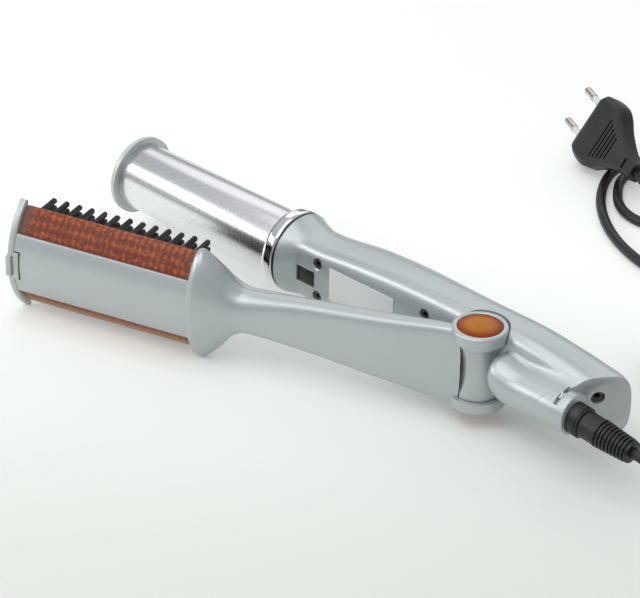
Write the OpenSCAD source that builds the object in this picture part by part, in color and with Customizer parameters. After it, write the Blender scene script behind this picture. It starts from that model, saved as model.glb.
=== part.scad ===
// Rotating hot brush iron: a motor-driven heated barrel on the handle, and a hinged brush arm.
// Origin: centre of the flat lower hinge cap, hinge axis along +Z. The barrel points to -X,
// the cord leaves towards +X. Units are millimetres.

/* [Barrel] */
// Outer radius of the heated barrel
barrel_r = 16; // [14:0.5:17]
// Wall of the barrel tube
barrel_wall = 1.4; // [1:0.1:2]
// Distance from the hinge line to the outer end of the barrel
barrel_end = 229.5; // [200:0.5:280]
// Radius of the flange on the barrel's outer end
flange_r = 18.9; // [18:0.1:20]
// Thickness of that flange
flange_t = 3; // [2:0.5:4]
// Radius of the chrome trim ring
chrome_r = 19.5; // [19:0.1:21]
// Length of the chrome trim ring
chrome_len = 6.5; // [4:0.5:9]
// Radius of the fixed core tube that carries the heater
core_r = 4; // [3.5:0.1:5]

/* [Handle] */
// Distance from the hinge line to the barrel end of the handle
handle_len = 121.8; // [105:0.1:145]
// Distance from the hinge line to the tip of the tail
tail_len = 70; // [67:0.5:82]
// Distance from the hinge line to the barrel axis
barrel_y = 15.4; // [14:0.1:18]
// Wall of the handle mouldings
wall = 1.8; // [1.4:0.1:2.4]
// Half height of the handle at the hinge
hinge_half = 19.4; // [18:0.1:22]
// Half height of the handle at its narrow neck
neck_half = 15.6; // [15:0.1:17]
// Distance of the flat inner face from the hinge line
face_y = 1.75; // [1:0.05:3]

/* [Hinge] */
// Radius of the two hinge ears on the arm
ear_r = 12.8; // [11.5:0.1:14]
// Height from the mid-plane where the ears begin
ear_from = 13.8; // [12:0.1:15]
// Radius of the hinge pin
pin_r = 3; // [2.5:0.1:4]
// Radius of the hinge caps
cap_r = 10; // [8:0.1:11]
// Angle of the open arm at rest, in degrees
open_angle = 16.4; // [14:0.1:20]

/* [Arm] */
// Distance from the hinge line to the rim of the cup that holds the brush
cup_rim = 133; // [128:0.5:150]
// Half height of the arm's slim neck
arm_neck_half = 9; // [8:0.1:11]
// Half height of the cup
cup_half = 28; // [27:0.1:30]
// Length of the brush between the cup and its end cap
brush_len = 89.1; // [75:0.1:110]
// Outer radius of the translucent guard
guard_r = 31.7; // [31:0.1:33]
// Wall of the guard
guard_wall = 1.5; // [1.2:0.1:2]
// Half height of the shield on the guard
shield_half = 14.8; // [12:0.1:17]
// Bristle tufts in a row
tufts = 13; // [9:1:15]
// Strands in a tuft
strands = 7; // [5:1:8]

/* [Cord and plug] */
// Diameter of the cord
cord_d = 5; // [4.5:0.1:5.4]
// Outer radius of the cord's tube on the handle
tube_r = 9.5; // [9.2:0.1:10.5]
// Radius of the swivelling collar
collar_r = 7.2; // [6.8:0.1:7.3]
// Length of the ribbed strain relief past the collar
relief_len = 26; // [22:0.5:34]
// Radius of the plug's pin tips
plug_pin_r = 2; // [1.9:0.05:2.1]
// Length of the plug's pins
plug_pin_len = 19; // [17:0.5:20]

/* [Hidden] */
$fn = 48;

// Clearances
run = 0.06;        // radial clearance of a running fit
gap = 0.3;         // clearance between moving curved faces
fit = 0.15;        // clearance of a piece in its seat
floor_z = hinge_half - cup_half;      // the surface that everything lies on

// Smooth curve through hand-chosen [x, value] pairs, by cubic pieces
function span(t, x, i = 0) = (i >= len(t) - 2 || x < t[i + 1][0]) ? i : span(t, x, i + 1);
function rise(t, i) = (t[i + 1][1] - t[i][1]) / (t[i + 1][0] - t[i][0]);
function slope(t, i) =
  i <= 0 ? rise(t, 0)
  : i >= len(t) - 1 ? rise(t, len(t) - 2)
  : rise(t, i - 1) * rise(t, i) <= 0 ? 0
  : (rise(t, i - 1) + rise(t, i)) / 2;
function curve(t, x) = let (
    i = span(t, x),
    h = t[i + 1][0] - t[i][0],
    s = min(max((x - t[i][0]) / h, 0), 1)
  ) (2 * s ^ 3 - 3 * s ^ 2 + 1) * t[i][1] + (s ^ 3 - 2 * s ^ 2 + s) * h * slope(t, i)
    + (3 * s ^ 2 - 2 * s ^ 3) * t[i + 1][1] + (s ^ 3 - s ^ 2) * h * slope(t, i + 1);

// One quadrant law of a rounded section: n = 2 is round, larger is squarer
function bulge(v, n) = sign(v) * pow(abs(v), 2 / n);
// Points of a rounded outline from angle a0 to a1: [out, up] with half depth a and half height b
function rounded(a, b, n, a0, a1, steps) =
  [for (i = [0 : steps]) let (t = a0 + (a1 - a0) * i / steps) [a * bulge(cos(t), n), b * bulge(sin(t), n)]];

// Solid through rings of the same number of points, in order along the piece
module loft(rings) {
  n = len(rings[0]);
  m = len(rings);
  polyhedron(
    points = [for (r = rings) each r],
    faces = concat(
      [[for (i = [0 : n - 1]) i]],
      [[for (i = [n - 1 : -1 : 0]) (m - 1) * n + i]],
      [for (k = [0 : m - 2], i = [0 : n - 1]) [k * n + (i + 1) % n, k * n + i, (k + 1) * n + i]],
      [for (k = [0 : m - 2], i = [0 : n - 1])
        [(k + 1) * n + (i + 1) % n, k * n + (i + 1) % n, (k + 1) * n + i]]));
}

// Frames: the mid-plane of the tool, the barrel axis (z runs towards the barrel's end),
// the arm (x runs along the arm, y away from the barrel) and the cord's tube
module mid() translate([0, 0, hinge_half]) children();
module on_barrel() translate([0, barrel_y, hinge_half]) rotate([0, -90, 0]) children();
module on_arm() mid() rotate([0, 0, 180 + open_angle]) children();

// Handle sections, from the barrel end (-X) to the tail (+X), about the barrel axis
ring_r = chrome_r - 0.2;
half_height = [[-handle_len, ring_r], [-handle_len + 4, ring_r - 1.6], [-handle_len + 12, neck_half + 0.1],
  [-handle_len + 19, neck_half], [-0.65 * handle_len, hinge_half - 1.9], [-0.4 * handle_len, hinge_half - 0.1],
  [0, hinge_half + 0.2], [20, hinge_half], [40, hinge_half - 2.4], [tail_len - 15, hinge_half - 4.7],
  [tail_len - 5, hinge_half - 5.3], [tail_len - 2, hinge_half - 6.2], [tail_len, hinge_half - 7.9]];
back_depth = [[-handle_len, ring_r], [-handle_len + 4, ring_r - 2.4], [-handle_len + 12, 13.9],
  [-handle_len + 19, 13.6], [-90, 15.6], [-75, 17.3], [-49, 16.2], [-22, 13.8], [10, 12.6], [32, 12.2],
  [tail_len - 15, 11.6], [tail_len - 9, 10.2], [tail_len - 5, 8.2], [tail_len - 2, 5.9], [tail_len, 3]];
front_depth = [[-handle_len, ring_r], [-handle_len + 4, barrel_y - face_y + 3],
  [-handle_len + 10, barrel_y - face_y + 0.2], [-handle_len + 16, barrel_y - face_y], [tail_len, barrel_y - face_y]];
front_square = [[-handle_len, 2], [-handle_len + 6, 2.8], [-handle_len + 16, 4], [0, 4], [tail_len, 4]];
back_round = 2.3;
section_steps = 12;
handle_stations = [for (x = [-handle_len, -handle_len + 2, -handle_len + 4, -handle_len + 7,
  -handle_len + 11, -handle_len + 16, -handle_len + 24, -handle_len + 34]) x,
  for (k = [1 : 8]) -handle_len + 34 + k * (handle_len + 6) / 9,
  for (x = [40, 48, tail_len - 15, tail_len - 10, tail_len - 7, tail_len - 5, tail_len - 3.5, tail_len - 2,
    tail_len - 1, tail_len]) x];
function shrink(v, t) = max(v - t, 0.6);
function back_ring(x, t) = [for (p = rounded(shrink(curve(back_depth, x), t), shrink(curve(half_height, x), t),
  curve([[-handle_len, 2], [-handle_len + 12, back_round], [tail_len, back_round]], x), -90, 90, section_steps))
  [x, barrel_y + p[0], p[1]]];
function front_ring(x, t) = [for (p = rounded(shrink(curve(front_depth, x), t), shrink(curve(half_height, x), t),
  curve(front_square, x), 90, -90, section_steps)) [x, barrel_y - p[0], p[1]]];
// Depth of the back wall's middle line at a place, where posts and ribs end
function back_reach(x, z) = let (a = curve(back_depth, x) - wall / 2, b = curve(half_height, x) - wall / 2)
  barrel_y + a * pow(1 - pow(min(abs(z) / b, 0.98), back_round), 1 / back_round);

// Tail: the slanted end face, from the tube's mouth back to the tip
mouth_x = 56.6;
tail_turn = 39.3;           // turn of the end face's normal from +X towards -Y
tail_hole = [59.4, 9.6, 3.5];
module behind_tail_face(depth) translate([mouth_x, 7, -40])
  rotate([0, 0, -tail_turn]) translate([-depth, -60, 0]) cube([60, 120, 80]);

// Cord tube and the axis that the relief swivels on, tilted down at the mouth
tube_y = -2.4;
swivel_tilt = 6;
swivel_low = 1.2;
module on_swivel() translate([mouth_x, tube_y, hinge_half - swivel_low]) rotate([0, 90 + swivel_tilt, 0]) children();
neck_r = 4.5;
slider_x = 51;
slider_mid = 73;            // angle of the slot's middle, from the front up
slider_arc = 66;
slider_span = 26;
slot_w = 2.2;

// Places of the fastenings
screw_places = [[-99, 8.5], [-99, -8.5], [-34, 9.5], [-34, -9.5]];
screw_r = 1.2;
head_r = 2.4;
switch_slot = [-106, 11, 8];  // middle, length and height of the slot
motor_y = barrel_y + 8.5;
motor_r = 5;
gear_module = 0.5;
hub_teeth = 24;
pinion_teeth = 10;
gear_s = [handle_len - 9.8, handle_len - 5.8];
bulkhead_s = [handle_len - 13.3, handle_len - 11.3];
board_y = barrel_y + 0.6;
board_t = 1.6;

// Knuckle between the ears, with its waist
knuckle_r = 10.3;
waist_r = 8.7;
knuckle_half = ear_from - gap;
spring_r = 4.3;
spring_wire = 0.55;
module knuckle() rotate_extrude() polygon([[0, -knuckle_half], [knuckle_r, -knuckle_half],
  [knuckle_r, -knuckle_half + 1.5], for (i = [0 : 8]) let (z = (i / 4 - 1) * (knuckle_half - 3))
    [waist_r + (knuckle_r - waist_r) * pow(i / 4 - 1, 2), z],
  [knuckle_r, knuckle_half - 1.5], [knuckle_r, knuckle_half], [0, knuckle_half]]);
module ear_pockets() for (s = [-1, 1])
  translate([0, 0, s > 0 ? knuckle_half : -knuckle_half - 10]) cylinder(r = ear_r + gap + 0.1, h = 10);

// Rounded root of the cord tube beside the knuckle: [x, middle height, half depth, half height]
root_sections = [[12.4, 4.2, 4.6, 4.4], [12.9, 4.1, 6.6, 6.2], [14, 3.6, 8.2, 7.6], [15.6, 2.9, 9.2, 8.7],
  [18, 1.9, 9.6, 9.5], [21, 1, 9.7, 9.8], [25, 0.3, 9.6, 9.6], [29, 0, 9.3, 9.3]];
module tube_root() loft([for (r = root_sections) [for (p = rounded(r[2], r[3], 2.3, 345, 0, 23))
  [r[0], tube_y - p[0], r[1] + p[1]]]]);

// Handle halves
module half_shell(back) {
  cut = barrel_y;
  difference() {
    loft([for (x = handle_stations) back ? back_ring(x, 0) : front_ring(x, 0)]);
    for (part = [[-handle_len + 1.8, -17], [17, 50]])
      loft([for (x = concat([part[0]], [for (x = handle_stations) if (x > part[0] + 1 && x < part[1] - 1) x],
          [part[1]]))
        back ? concat([[x, cut - 1, -curve(half_height, x) + wall]], back_ring(x, wall),
            [[x, cut - 1, curve(half_height, x) - wall]])
          : concat([[x, cut + 1, curve(half_height, x) - wall]], front_ring(x, wall),
            [[x, cut + 1, -curve(half_height, x) + wall]])]);
    translate([-handle_len - 1, barrel_y, 0]) rotate([0, 90, 0]) cylinder(r = collar_in_r, h = 3.2);
  }
}
collar_in_r = 17.1;

module rear_housing() color("silver") mid() difference() {
  union() {
    half_shell(true);
    for (p = screw_places)
      translate([p[0], barrel_y + fit, p[1]]) rotate([-90, 0, 0])
        cylinder(r = 3, h = back_reach(p[0], abs(p[1]) + 3) - barrel_y - fit);
    for (x = [-60, -20], z = [-7, 7])
      translate([x, board_y + board_t, z]) rotate([-90, 0, 0])
        cylinder(r = 2, h = back_reach(x, 9) - board_y - board_t);
    for (x = [-motor_s[0] - 5, -motor_s[1] + 3])
      difference() {
        translate([x, motor_y - 1.5, -6]) cube([2, back_reach(x, 6) - motor_y + 1.5, 12]);
        translate([x - 1, motor_y, 0]) rotate([0, 90, 0]) cylinder(r = motor_r + 0.05, h = 4);
      }
  }
  for (p = screw_places)
    translate([p[0], barrel_y - 1, p[1]]) rotate([-90, 0, 0]) cylinder(r = screw_r + 0.05, h = 7);
  behind_tail_face(0);
  tail_screw_seat();
}
motor_s = [68, 90];

module front_housing() color("silver") mid() difference() {
  union() {
    difference() {
      half_shell(false);
      behind_tail_face(0);
    }
    knuckle();
    translate([24, tube_y, 0]) rotate([0, 90, 0]) cylinder(r = tube_r, h = mouth_x - 24);
    tube_root();
    for (p = screw_places)
      translate([p[0], face_y + wall / 2, p[1]]) rotate([-90, 0, 0])
        cylinder(r = 3.2, h = barrel_y - face_y - wall / 2);
    for (z = [-5.4, 4.2])
      translate([switch_slot[0] - 2, face_y + wall / 2, z - 0.5]) cube([8.5, 6.5, 1.2]);
  }
  ear_pockets();
  tail_screw_seat();
  translate([0, 0, -30]) cylinder(r = pin_r + run, h = 60);
  translate([0, 0, -spring_half]) cylinder(r = spring_r + spring_wire + 0.35, h = 2 * spring_half);
  for (p = screw_places) {
    translate([p[0], face_y - 6, p[1]]) rotate([-90, 0, 0]) cylinder(r = head_r + 0.3, h = 8.4);
    translate([p[0], face_y, p[1]]) rotate([-90, 0, 0]) cylinder(r = screw_r + 0.25, h = 20);
  }
  translate([switch_slot[0] - switch_slot[1] / 2, face_y - 4, -0.5 - switch_slot[2] / 2])
    cube([switch_slot[1], 4 + wall + 1.2, switch_slot[2]]);
  // Heat slot round the tube, a groove that the slider runs in
  intersection() {
    translate([slider_x - slot_w / 2, tube_y, 0]) rotate([0, 90, 0]) difference() {
      cylinder(r = tube_r + 1, h = slot_w);
      translate([0, 0, -1]) cylinder(r = tube_r - 1.3, h = slot_w + 2);
    }
    translate([slider_x, tube_y, 0]) rotate([0, 90, 0])
      sector(20, slider_mid - slider_arc / 2, slider_mid + slider_arc / 2, slot_w + 1);
  }
  translate([0, 0, -hinge_half]) on_swivel() {
    translate([0, 0, -11]) cylinder(r = collar_r + run, h = 16);
    translate([0, 0, -15]) cylinder(r = neck_r + run, h = 5);
    translate([0, 0, -30]) cylinder(r = 6.6, h = 16);
  }
}
spring_half = 6;

// Slice of a disc about Z between two angles measured from the front (-Y) towards up (+Z)
// once the disc stands on the X axis
module sector(r, a0, a1, h) translate([0, 0, -h / 2]) linear_extrude(h)
  polygon([[0, 0], for (i = [0 : 6]) let (a = a0 + (a1 - a0) * i / 6) [-r * sin(a), -r * cos(a)]]);

module housing_screws() color("dimgray") mid() for (p = screw_places)
  translate([p[0], face_y + 1, p[1]]) rotate([-90, 0, 0]) difference() {
    union() {
      cylinder(r = head_r, h = 1.4);
      cylinder(r = screw_r, h = barrel_y - face_y + 4);
    }
    for (a = [0, 90]) rotate([0, 0, a]) translate([-1.5, -0.3, -0.1]) cube([3, 0.6, 0.9]);
  }

// Screw sunk in the tail's end face
module on_tail_screw() translate(tail_hole) rotate([0, 0, -tail_turn]) rotate([0, 90, 0]) children();
module tail_screw_seat() on_tail_screw() {
  translate([0, 0, -5]) cylinder(r = 3.7, h = 12);
  translate([0, 0, -11.2]) cylinder(r = 1.45, h = 8);
}
module tail_screw() color("dimgray") mid() on_tail_screw() translate([0, 0, -5]) difference() {
    union() {
      cylinder(r = 3, h = 1.6);
      translate([0, 0, -6]) cylinder(r = 1.4, h = 6.5);
    }
    for (a = [0, 90]) rotate([0, 0, a]) translate([-1.8, -0.35, 1]) cube([3.6, 0.7, 1]);
  }

module label_plate() color("whitesmoke") mid() translate([-91, face_y - 0.3, -7]) cube([39, 0.3, 17]);

// Black collar that the two halves clamp, and the chrome ring pushed over it
module barrel_collar() color("black") on_barrel() rotate_extrude($fn = 72) polygon([
  [barrel_r + 0.4, handle_len - 2], [collar_in_r - fit, handle_len - 2], [collar_in_r - fit, handle_len + 0.1],
  [ring_r, handle_len + 0.1], [ring_r, handle_len + 1], [collar_in_r, handle_len + 1],
  [collar_in_r, handle_len + chrome_len], [barrel_r + 0.4, handle_len + chrome_len]]);
module chrome_ring() color("gainsboro") on_barrel() rotate_extrude($fn = 72) polygon([
  [collar_in_r + 0.05, handle_len + 1], [chrome_r - 0.4, handle_len + 1], [chrome_r, handle_len + 1.5],
  [chrome_r, handle_len + chrome_len], [chrome_r - 0.6, handle_len + chrome_len + 0.8],
  [collar_in_r + 0.05, handle_len + chrome_len + 0.8]]);

// Bulkhead: a slab of the handle's inside section that carries the core tube
module bulkhead() color("dimgray") mid() difference() {
  x = -bulkhead_s[0];
  t = wall + 0.4;
  translate([-bulkhead_s[1], 0, 0]) rotate([90, 0, 90])
    linear_extrude(bulkhead_s[1] - bulkhead_s[0])
      polygon([for (p = concat(back_ring(x, t), front_ring(x, t))) [p[1], p[2]]]);
  translate([-bulkhead_s[1] - 1, barrel_y, 0]) rotate([0, 90, 0]) cylinder(r = core_r + 0.03, h = 4);
  translate([-bulkhead_s[1] - 1, motor_y, 0]) rotate([0, 90, 0]) cylinder(r = 1.06, h = 4);
  translate([-bulkhead_s[1] - 1, -5, -0.5 - 5]) cube([4, 15.2, 10]);
}

module core_tube() color("silver") on_barrel() translate([0, 0, bulkhead_s[0]]) difference() {
  cylinder(r = core_r, h = barrel_end - flange_t - 4.6 - bulkhead_s[0]);
  translate([0, 0, -1]) cylinder(r = core_r - 1.2, h = barrel_end);
}
module heater_core() color("firebrick") on_barrel() translate([0, 0, handle_len + 14]) difference() {
  cylinder(r = barrel_r - barrel_wall - 2, h = barrel_end - handle_len - 30);
  translate([0, 0, -1]) cylinder(r = core_r + 0.03, h = barrel_end);
}
bush_s = barrel_end - flange_t - 10.5;
module tip_bush() color("burlywood") on_barrel() translate([0, 0, bush_s]) difference() {
  cylinder(r = 6, h = 6);
  translate([0, 0, -1]) cylinder(r = core_r + 0.03, h = 8);
}

// Turning barrel: tube, driven hub at the handle and cap at the outer end
module barrel_tube() color("lightgray") on_barrel() translate([0, 0, handle_len + 1.2]) difference() {
  cylinder(r = barrel_r, h = barrel_end - flange_t - handle_len - 1.2, $fn = 96);
  translate([0, 0, -1]) cylinder(r = barrel_r - barrel_wall, h = barrel_end, $fn = 96);
}
module barrel_end_cap() color("silver") on_barrel() difference() {
  rotate_extrude($fn = 72) polygon([[0, bush_s + 1], [barrel_r - barrel_wall - 0.02, bush_s + 1],
    [barrel_r - barrel_wall - 0.02, barrel_end - flange_t], [flange_r - 0.4, barrel_end - flange_t],
    [flange_r, barrel_end - flange_t + 0.4], [flange_r, barrel_end - 0.8], [flange_r - 0.8, barrel_end],
    [0, barrel_end]]);
  translate([0, 0, bush_s]) cylinder(r = 6 + run, h = 7);
}
module gear(teeth, bore) {
  r = teeth * gear_module / 2;
  difference() {
    union() {
      circle(r = r - 1.25 * gear_module);
      for (k = [0 : teeth - 1]) rotate(360 * k / teeth)
        polygon([[r - 1.6 * gear_module, -0.42], [r, -0.33], [r + 0.85 * gear_module, -0.16],
          [r + 0.85 * gear_module, 0.16], [r, 0.33], [r - 1.6 * gear_module, 0.42]]);
    }
    circle(r = bore);
  }
}
module drive_hub() color("ivory") on_barrel() {
  translate([0, 0, gear_s[0]]) linear_extrude(gear_s[1] - gear_s[0]) gear(hub_teeth, core_r + run);
  translate([0, 0, gear_s[1] - 0.01]) difference() {
    union() {
      cylinder(r = 6, h = handle_len + 3 - gear_s[1]);
      translate([0, 0, handle_len + 2 - gear_s[1]]) cylinder(r = barrel_r - barrel_wall - 0.02, h = 7);
    }
    translate([0, 0, -1]) cylinder(r = core_r + run, h = 30);
  }
}
module motor() color("gray") mid() translate([-motor_s[1], motor_y, 0]) rotate([0, 90, 0]) difference() {
  union() {
    cylinder(r = motor_r, h = motor_s[1] - motor_s[0]);
    translate([0, 0, -1.5]) cylinder(r = 2, h = 2);
  }
  translate([0, 0, -2]) cylinder(r = 1 + run, h = 8);
}
module motor_pinion() color("ivory") mid() translate([-gear_s[1], motor_y, 0]) rotate([0, 90, 0]) {
  linear_extrude(gear_s[1] - gear_s[0]) gear(pinion_teeth, 0.9);
  cylinder(r = 1, h = gear_s[1] - motor_s[1] + 5);
}

module control_board() color("darkgreen") mid() difference() {
  translate([-68, board_y, -10.5]) cube([50, board_t, 21]);
  for (x = [-34], z = [-9.5, 9.5]) translate([x, 0, z]) rotate([-90, 0, 0]) cylinder(r = 3.4, h = 40);
}
module micro_switch() color("black") mid() translate([switch_slot[0] - 4.8, face_y + 4.6, -4.4]) cube([9.6, 3.6, 7.8]);
module switch_plunger() color("black") mid() translate([switch_slot[0], 0, -0.5])
  translate([-switch_slot[1] / 2 + gap, face_y + 0.6, -switch_slot[2] / 2 + gap])
    cube([switch_slot[1] - 2 * gap, 1.8, switch_slot[2] - 2 * gap]);

// Sliding heat switch: an arc of the tube's wall with a knob
module heat_slider() color("silver") translate([slider_x, tube_y, hinge_half]) rotate([0, 90, 0]) {
  intersection() {
    translate([0, 0, -slot_w / 2 + 0.15]) difference() {
      cylinder(r = tube_r + 0.1, h = slot_w - 0.3);
      translate([0, 0, -1]) cylinder(r = tube_r - 1.25, h = slot_w + 2);
    }
    sector(20, slider_mid - slider_span / 2, slider_mid + slider_span / 2, slot_w);
  }
  rotate([0, 0, 180 - slider_mid]) translate([-0.8, tube_r - 0.6, -slot_w / 2 + 0.15])
    cube([1.6, 1.8, slot_w - 0.3]);
}
module heat_switch() color("black") mid() translate([28, tube_y + tube_r + gap, -5]) cube([10, 6, 10]);

// Hinge
module hinge_pin() color("silver") mid() translate([0, 0, -hinge_half + 1.8]) cylinder(r = pin_r, h = 2 * hinge_half - 3.6);
spring_turns = 6;
spring_steps = 8;
module torsion_spring() color("silver") mid() {
  pitch = (2 * spring_half - 2 * spring_wire - 1) / spring_turns;
  wound(
    [for (i = [0 : spring_turns * spring_steps]) let (a = i * 360 / spring_steps)
      [spring_r * cos(a), spring_r * sin(a), -spring_half + spring_wire + 0.5 + pitch * i / spring_steps]],
    spring_wire, 6);
}
module hinge_cap_top() color("orange") mid() intersection() {
  translate([0, 0, hinge_half - 1.6]) cylinder(r = cap_r, h = 6);
  translate([0, 0, hinge_half + 1.2 - 42]) sphere(r = 42, $fn = 96);
}
module hinge_cap_bottom() color("orange") cylinder(r = cap_r, h = 1.6);

// Arm sections along the arm: inner face, outer face, widest line between them, half height,
// and how square the outer and inner halves are
arm_inner = [[0, 0.5], [43, 0.5], [82, 0.8], [cup_rim - 24, 1.2], [cup_rim - 17, 3], [cup_rim - 11, 5.5],
  [cup_rim - 5, 8.5], [cup_rim - 3, 9.6], [cup_rim, 10.4]];
arm_outer = [[0, 9.6], [6, 9.9], [43, 12.1], [82, 13.4], [cup_rim - 24, 17.2], [cup_rim - 17, 19.6],
  [cup_rim - 11, 22.4], [cup_rim - 5, 25.2], [cup_rim - 3, 25.8], [cup_rim, 25.6]];
arm_spine = [[0, 5], [43, 6.3], [82, 7.1], [cup_rim - 24, 8.6], [cup_rim - 17, 9.8], [cup_rim - 11, 10.9],
  [cup_rim - 5, 11.6], [cup_rim, 12]];
arm_half = [[0, hinge_half - 0.2], [6, hinge_half - 0.2], [43, hinge_half - 3.5], [82, hinge_half - 7.1],
  [cup_rim - 24, arm_neck_half + 1.4], [cup_rim - 17, arm_neck_half + 5], [cup_rim - 11, cup_half - 7],
  [cup_rim - 5, cup_half - 1.3], [cup_rim - 3, cup_half], [cup_rim, cup_half - 1]];
outer_square = [[0, 3.6], [82, 3], [cup_rim - 24, 2.3], [cup_rim - 11, 1.8], [cup_rim, 1.6]];
inner_square = [[0, 3.6], [82, 3.6], [cup_rim - 24, 4], [cup_rim, 3.2]];
// Line where the outer shell and the inner cover meet
arm_split = [[0, 2.8], [43, 3.1], [82, 4.6], [cup_rim - 24, 7.8], [cup_rim - 11, 9.9], [cup_rim - 5, 10.6],
  [cup_rim, 11.6]];
arm_stations = concat([0, 6, 13, 20, 30, 43, 56, 69, 82],
  [for (d = [40, 32, 26, 22, 18, 14.5, 11, 8, 5.5, 3.5, 1.5, 0]) cup_rim - d]);
cover_from = 20;
cover_stations = [for (x = arm_stations) if (x >= cover_from && x < cup_rim - 1) x];
cover_t = 1.8;
// Point of the section at angle t, where 0 is outermost and 90 is the top of the widest line
function arm_point(x, t) = let (
    outward = abs(t) <= 90,
    depth = outward ? curve(arm_outer, x) - curve(arm_spine, x) : curve(arm_spine, x) - curve(arm_inner, x),
    n = curve(outward ? outer_square : inner_square, x))
  [x, curve(arm_spine, x) + depth * bulge(cos(t), n), curve(arm_half, x) * bulge(sin(t), n)];
module arm_body() loft([for (x = arm_stations) [for (k = [-17 : 18]) arm_point(x, 10 * k)]]);
// Angle at which the section meets a given depth on its inner side
function inner_angle(x, y) =
  let (v = (curve(arm_spine, x) - y) / (curve(arm_spine, x) - curve(arm_inner, x)))
  90 + asin(pow(v, curve(inner_square, x) / 2));
// Inner half of the section up to the split line, less a clearance
function cover_ring(x, clear) = let (t = inner_angle(x, curve(arm_split, x) - clear))
  [for (k = [0 : 14]) let (a = t + (360 - 2 * t) * k / 14) arm_point(x, a > 180 ? a - 360 : a)];
// Space inside the shell, open past the split line
function shell_hollow(x) = let (
    b = curve(arm_half, x) - wall,
    low = curve(arm_split, x) - 3,
    outer = rounded(curve(arm_outer, x) - curve(arm_spine, x) - wall, b, curve(outer_square, x), -90, 90, 12))
  concat([[x, low, -b]], [for (p = outer) [x, curve(arm_spine, x) + p[0], p[1]]], [[x, low, b]]);
function cover_slab(x) = let (y = curve(arm_split, x)) [[x, y, -40], [x, y, 40], [x, y - 20, 40], [x, y - 20, -40]];
function cover_hollow(x) = let (
    y0 = curve(arm_inner, x) + cover_t,
    y1 = curve(arm_split, x) + 2,
    b = curve(arm_half, x) - wall - 1.6)
  [[x, y1, -b], [x, y1, b], [x, y0, b], [x, y0, -b]];
arm_screw_x = [34, 92];
guard_y = 23.3 - guard_r;   // centre line of the round guard, seen from the arm's inner side
brush_end = cup_rim + brush_len;
seat_in = 4;                // how far the brush stands in the cup

module arm_shell() color("silver") on_arm() difference() {
  union() {
    arm_body();
    for (s = [-1, 1])
      translate([0, 0, s > 0 ? ear_from : -hinge_half]) cylinder(r = ear_r, h = hinge_half - ear_from);
  }
  translate([0, 0, -ear_from]) cylinder(r = knuckle_r + 0.5, h = 2 * ear_from);
  loft([for (x = concat(cover_stations, [cup_rim + 2])) cover_slab(x)]);
  loft([for (x = concat([cover_from + 1.8], [for (x = cover_stations) if (x > cover_from + 5 && x < cup_rim - 7) x],
    [cup_rim - 6.5])) shell_hollow(x)]);
  translate([0, 0, -hinge_half + 1.7]) cylinder(r = pin_r + 0.02, h = 2 * hinge_half - 3.4);
  for (s = [-1, 1])
    translate([0, 0, s > 0 ? hinge_half - 1.65 : -hinge_half - 1]) cylinder(r = cap_r + 0.05, h = s > 0 ? 5 : 2.65);
  // Seat of the brush in the cup
  intersection() {
    translate([cup_rim - seat_in - fit, guard_y, 0]) rotate([0, 90, 0])
      cylinder(r = guard_r + 1.2, h = 20, $fn = 96);
    translate([cup_rim - 7, -20, -guard_half - 0.8]) cube([20, 60, 2 * guard_half + 1.6]);
  }
}
arm_nub_x = 106;

module arm_inner_cover() color("silver") on_arm() difference() {
  union() {
    difference() {
      loft([for (x = cover_stations) cover_ring(x, fit)]);
      loft([for (x = concat([cover_from + 2], [for (x = cover_stations) if (x > cover_from + 5 && x < cup_rim - 12) x]))
        cover_hollow(x)]);
    }
    translate([arm_nub_x, 4, -0.5]) rotate([90, 0, 0]) cylinder(r = 1.5, h = 4 + 3.9);
    for (x = arm_screw_x)
      translate([x, curve(arm_outer, x) - wall - 0.2, 0]) rotate([90, 0, 0])
        cylinder(r = 3, h = curve(arm_outer, x) - wall - 0.2 - curve(arm_inner, x) - 0.5);
  }
  across(cup_rim - seat_in - fit, 10) translate([guard_y, 0])
    arc_band(guard_r - guard_wall - fit, guard_r + 3, guard_half + fit);
  for (x = arm_screw_x) translate([x, curve(arm_inner, x) - 1, 0]) rotate([-90, 0, 0]) {
    cylinder(r = head_r + 0.2, h = 2.2);
    cylinder(r = screw_r + 0.15, h = 30);
  }
}
module arm_screws() color("dimgray") on_arm() for (x = arm_screw_x)
  translate([x, curve(arm_inner, x) + 0.2, 0]) rotate([-90, 0, 0]) difference() {
    union() {
      cylinder(r = head_r, h = 1);
      cylinder(r = screw_r, h = 7);
    }
    for (a = [0, 90]) rotate([0, 0, a]) translate([-1.5, -0.3, -0.1]) cube([3, 0.6, 0.7]);
  }

// Brush, seen in section: a round guard with a shield on it, open towards the barrel
guard_half = 24.5;
chassis_r = guard_r - guard_wall - 0.1;
module arc_band(r0, r1, half) intersection() {
  difference() {
    circle(r = r1, $fn = 120);
    circle(r = r0, $fn = 120);
  }
  translate([0, -half]) square([r1 + 5, 2 * half]);
}
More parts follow.
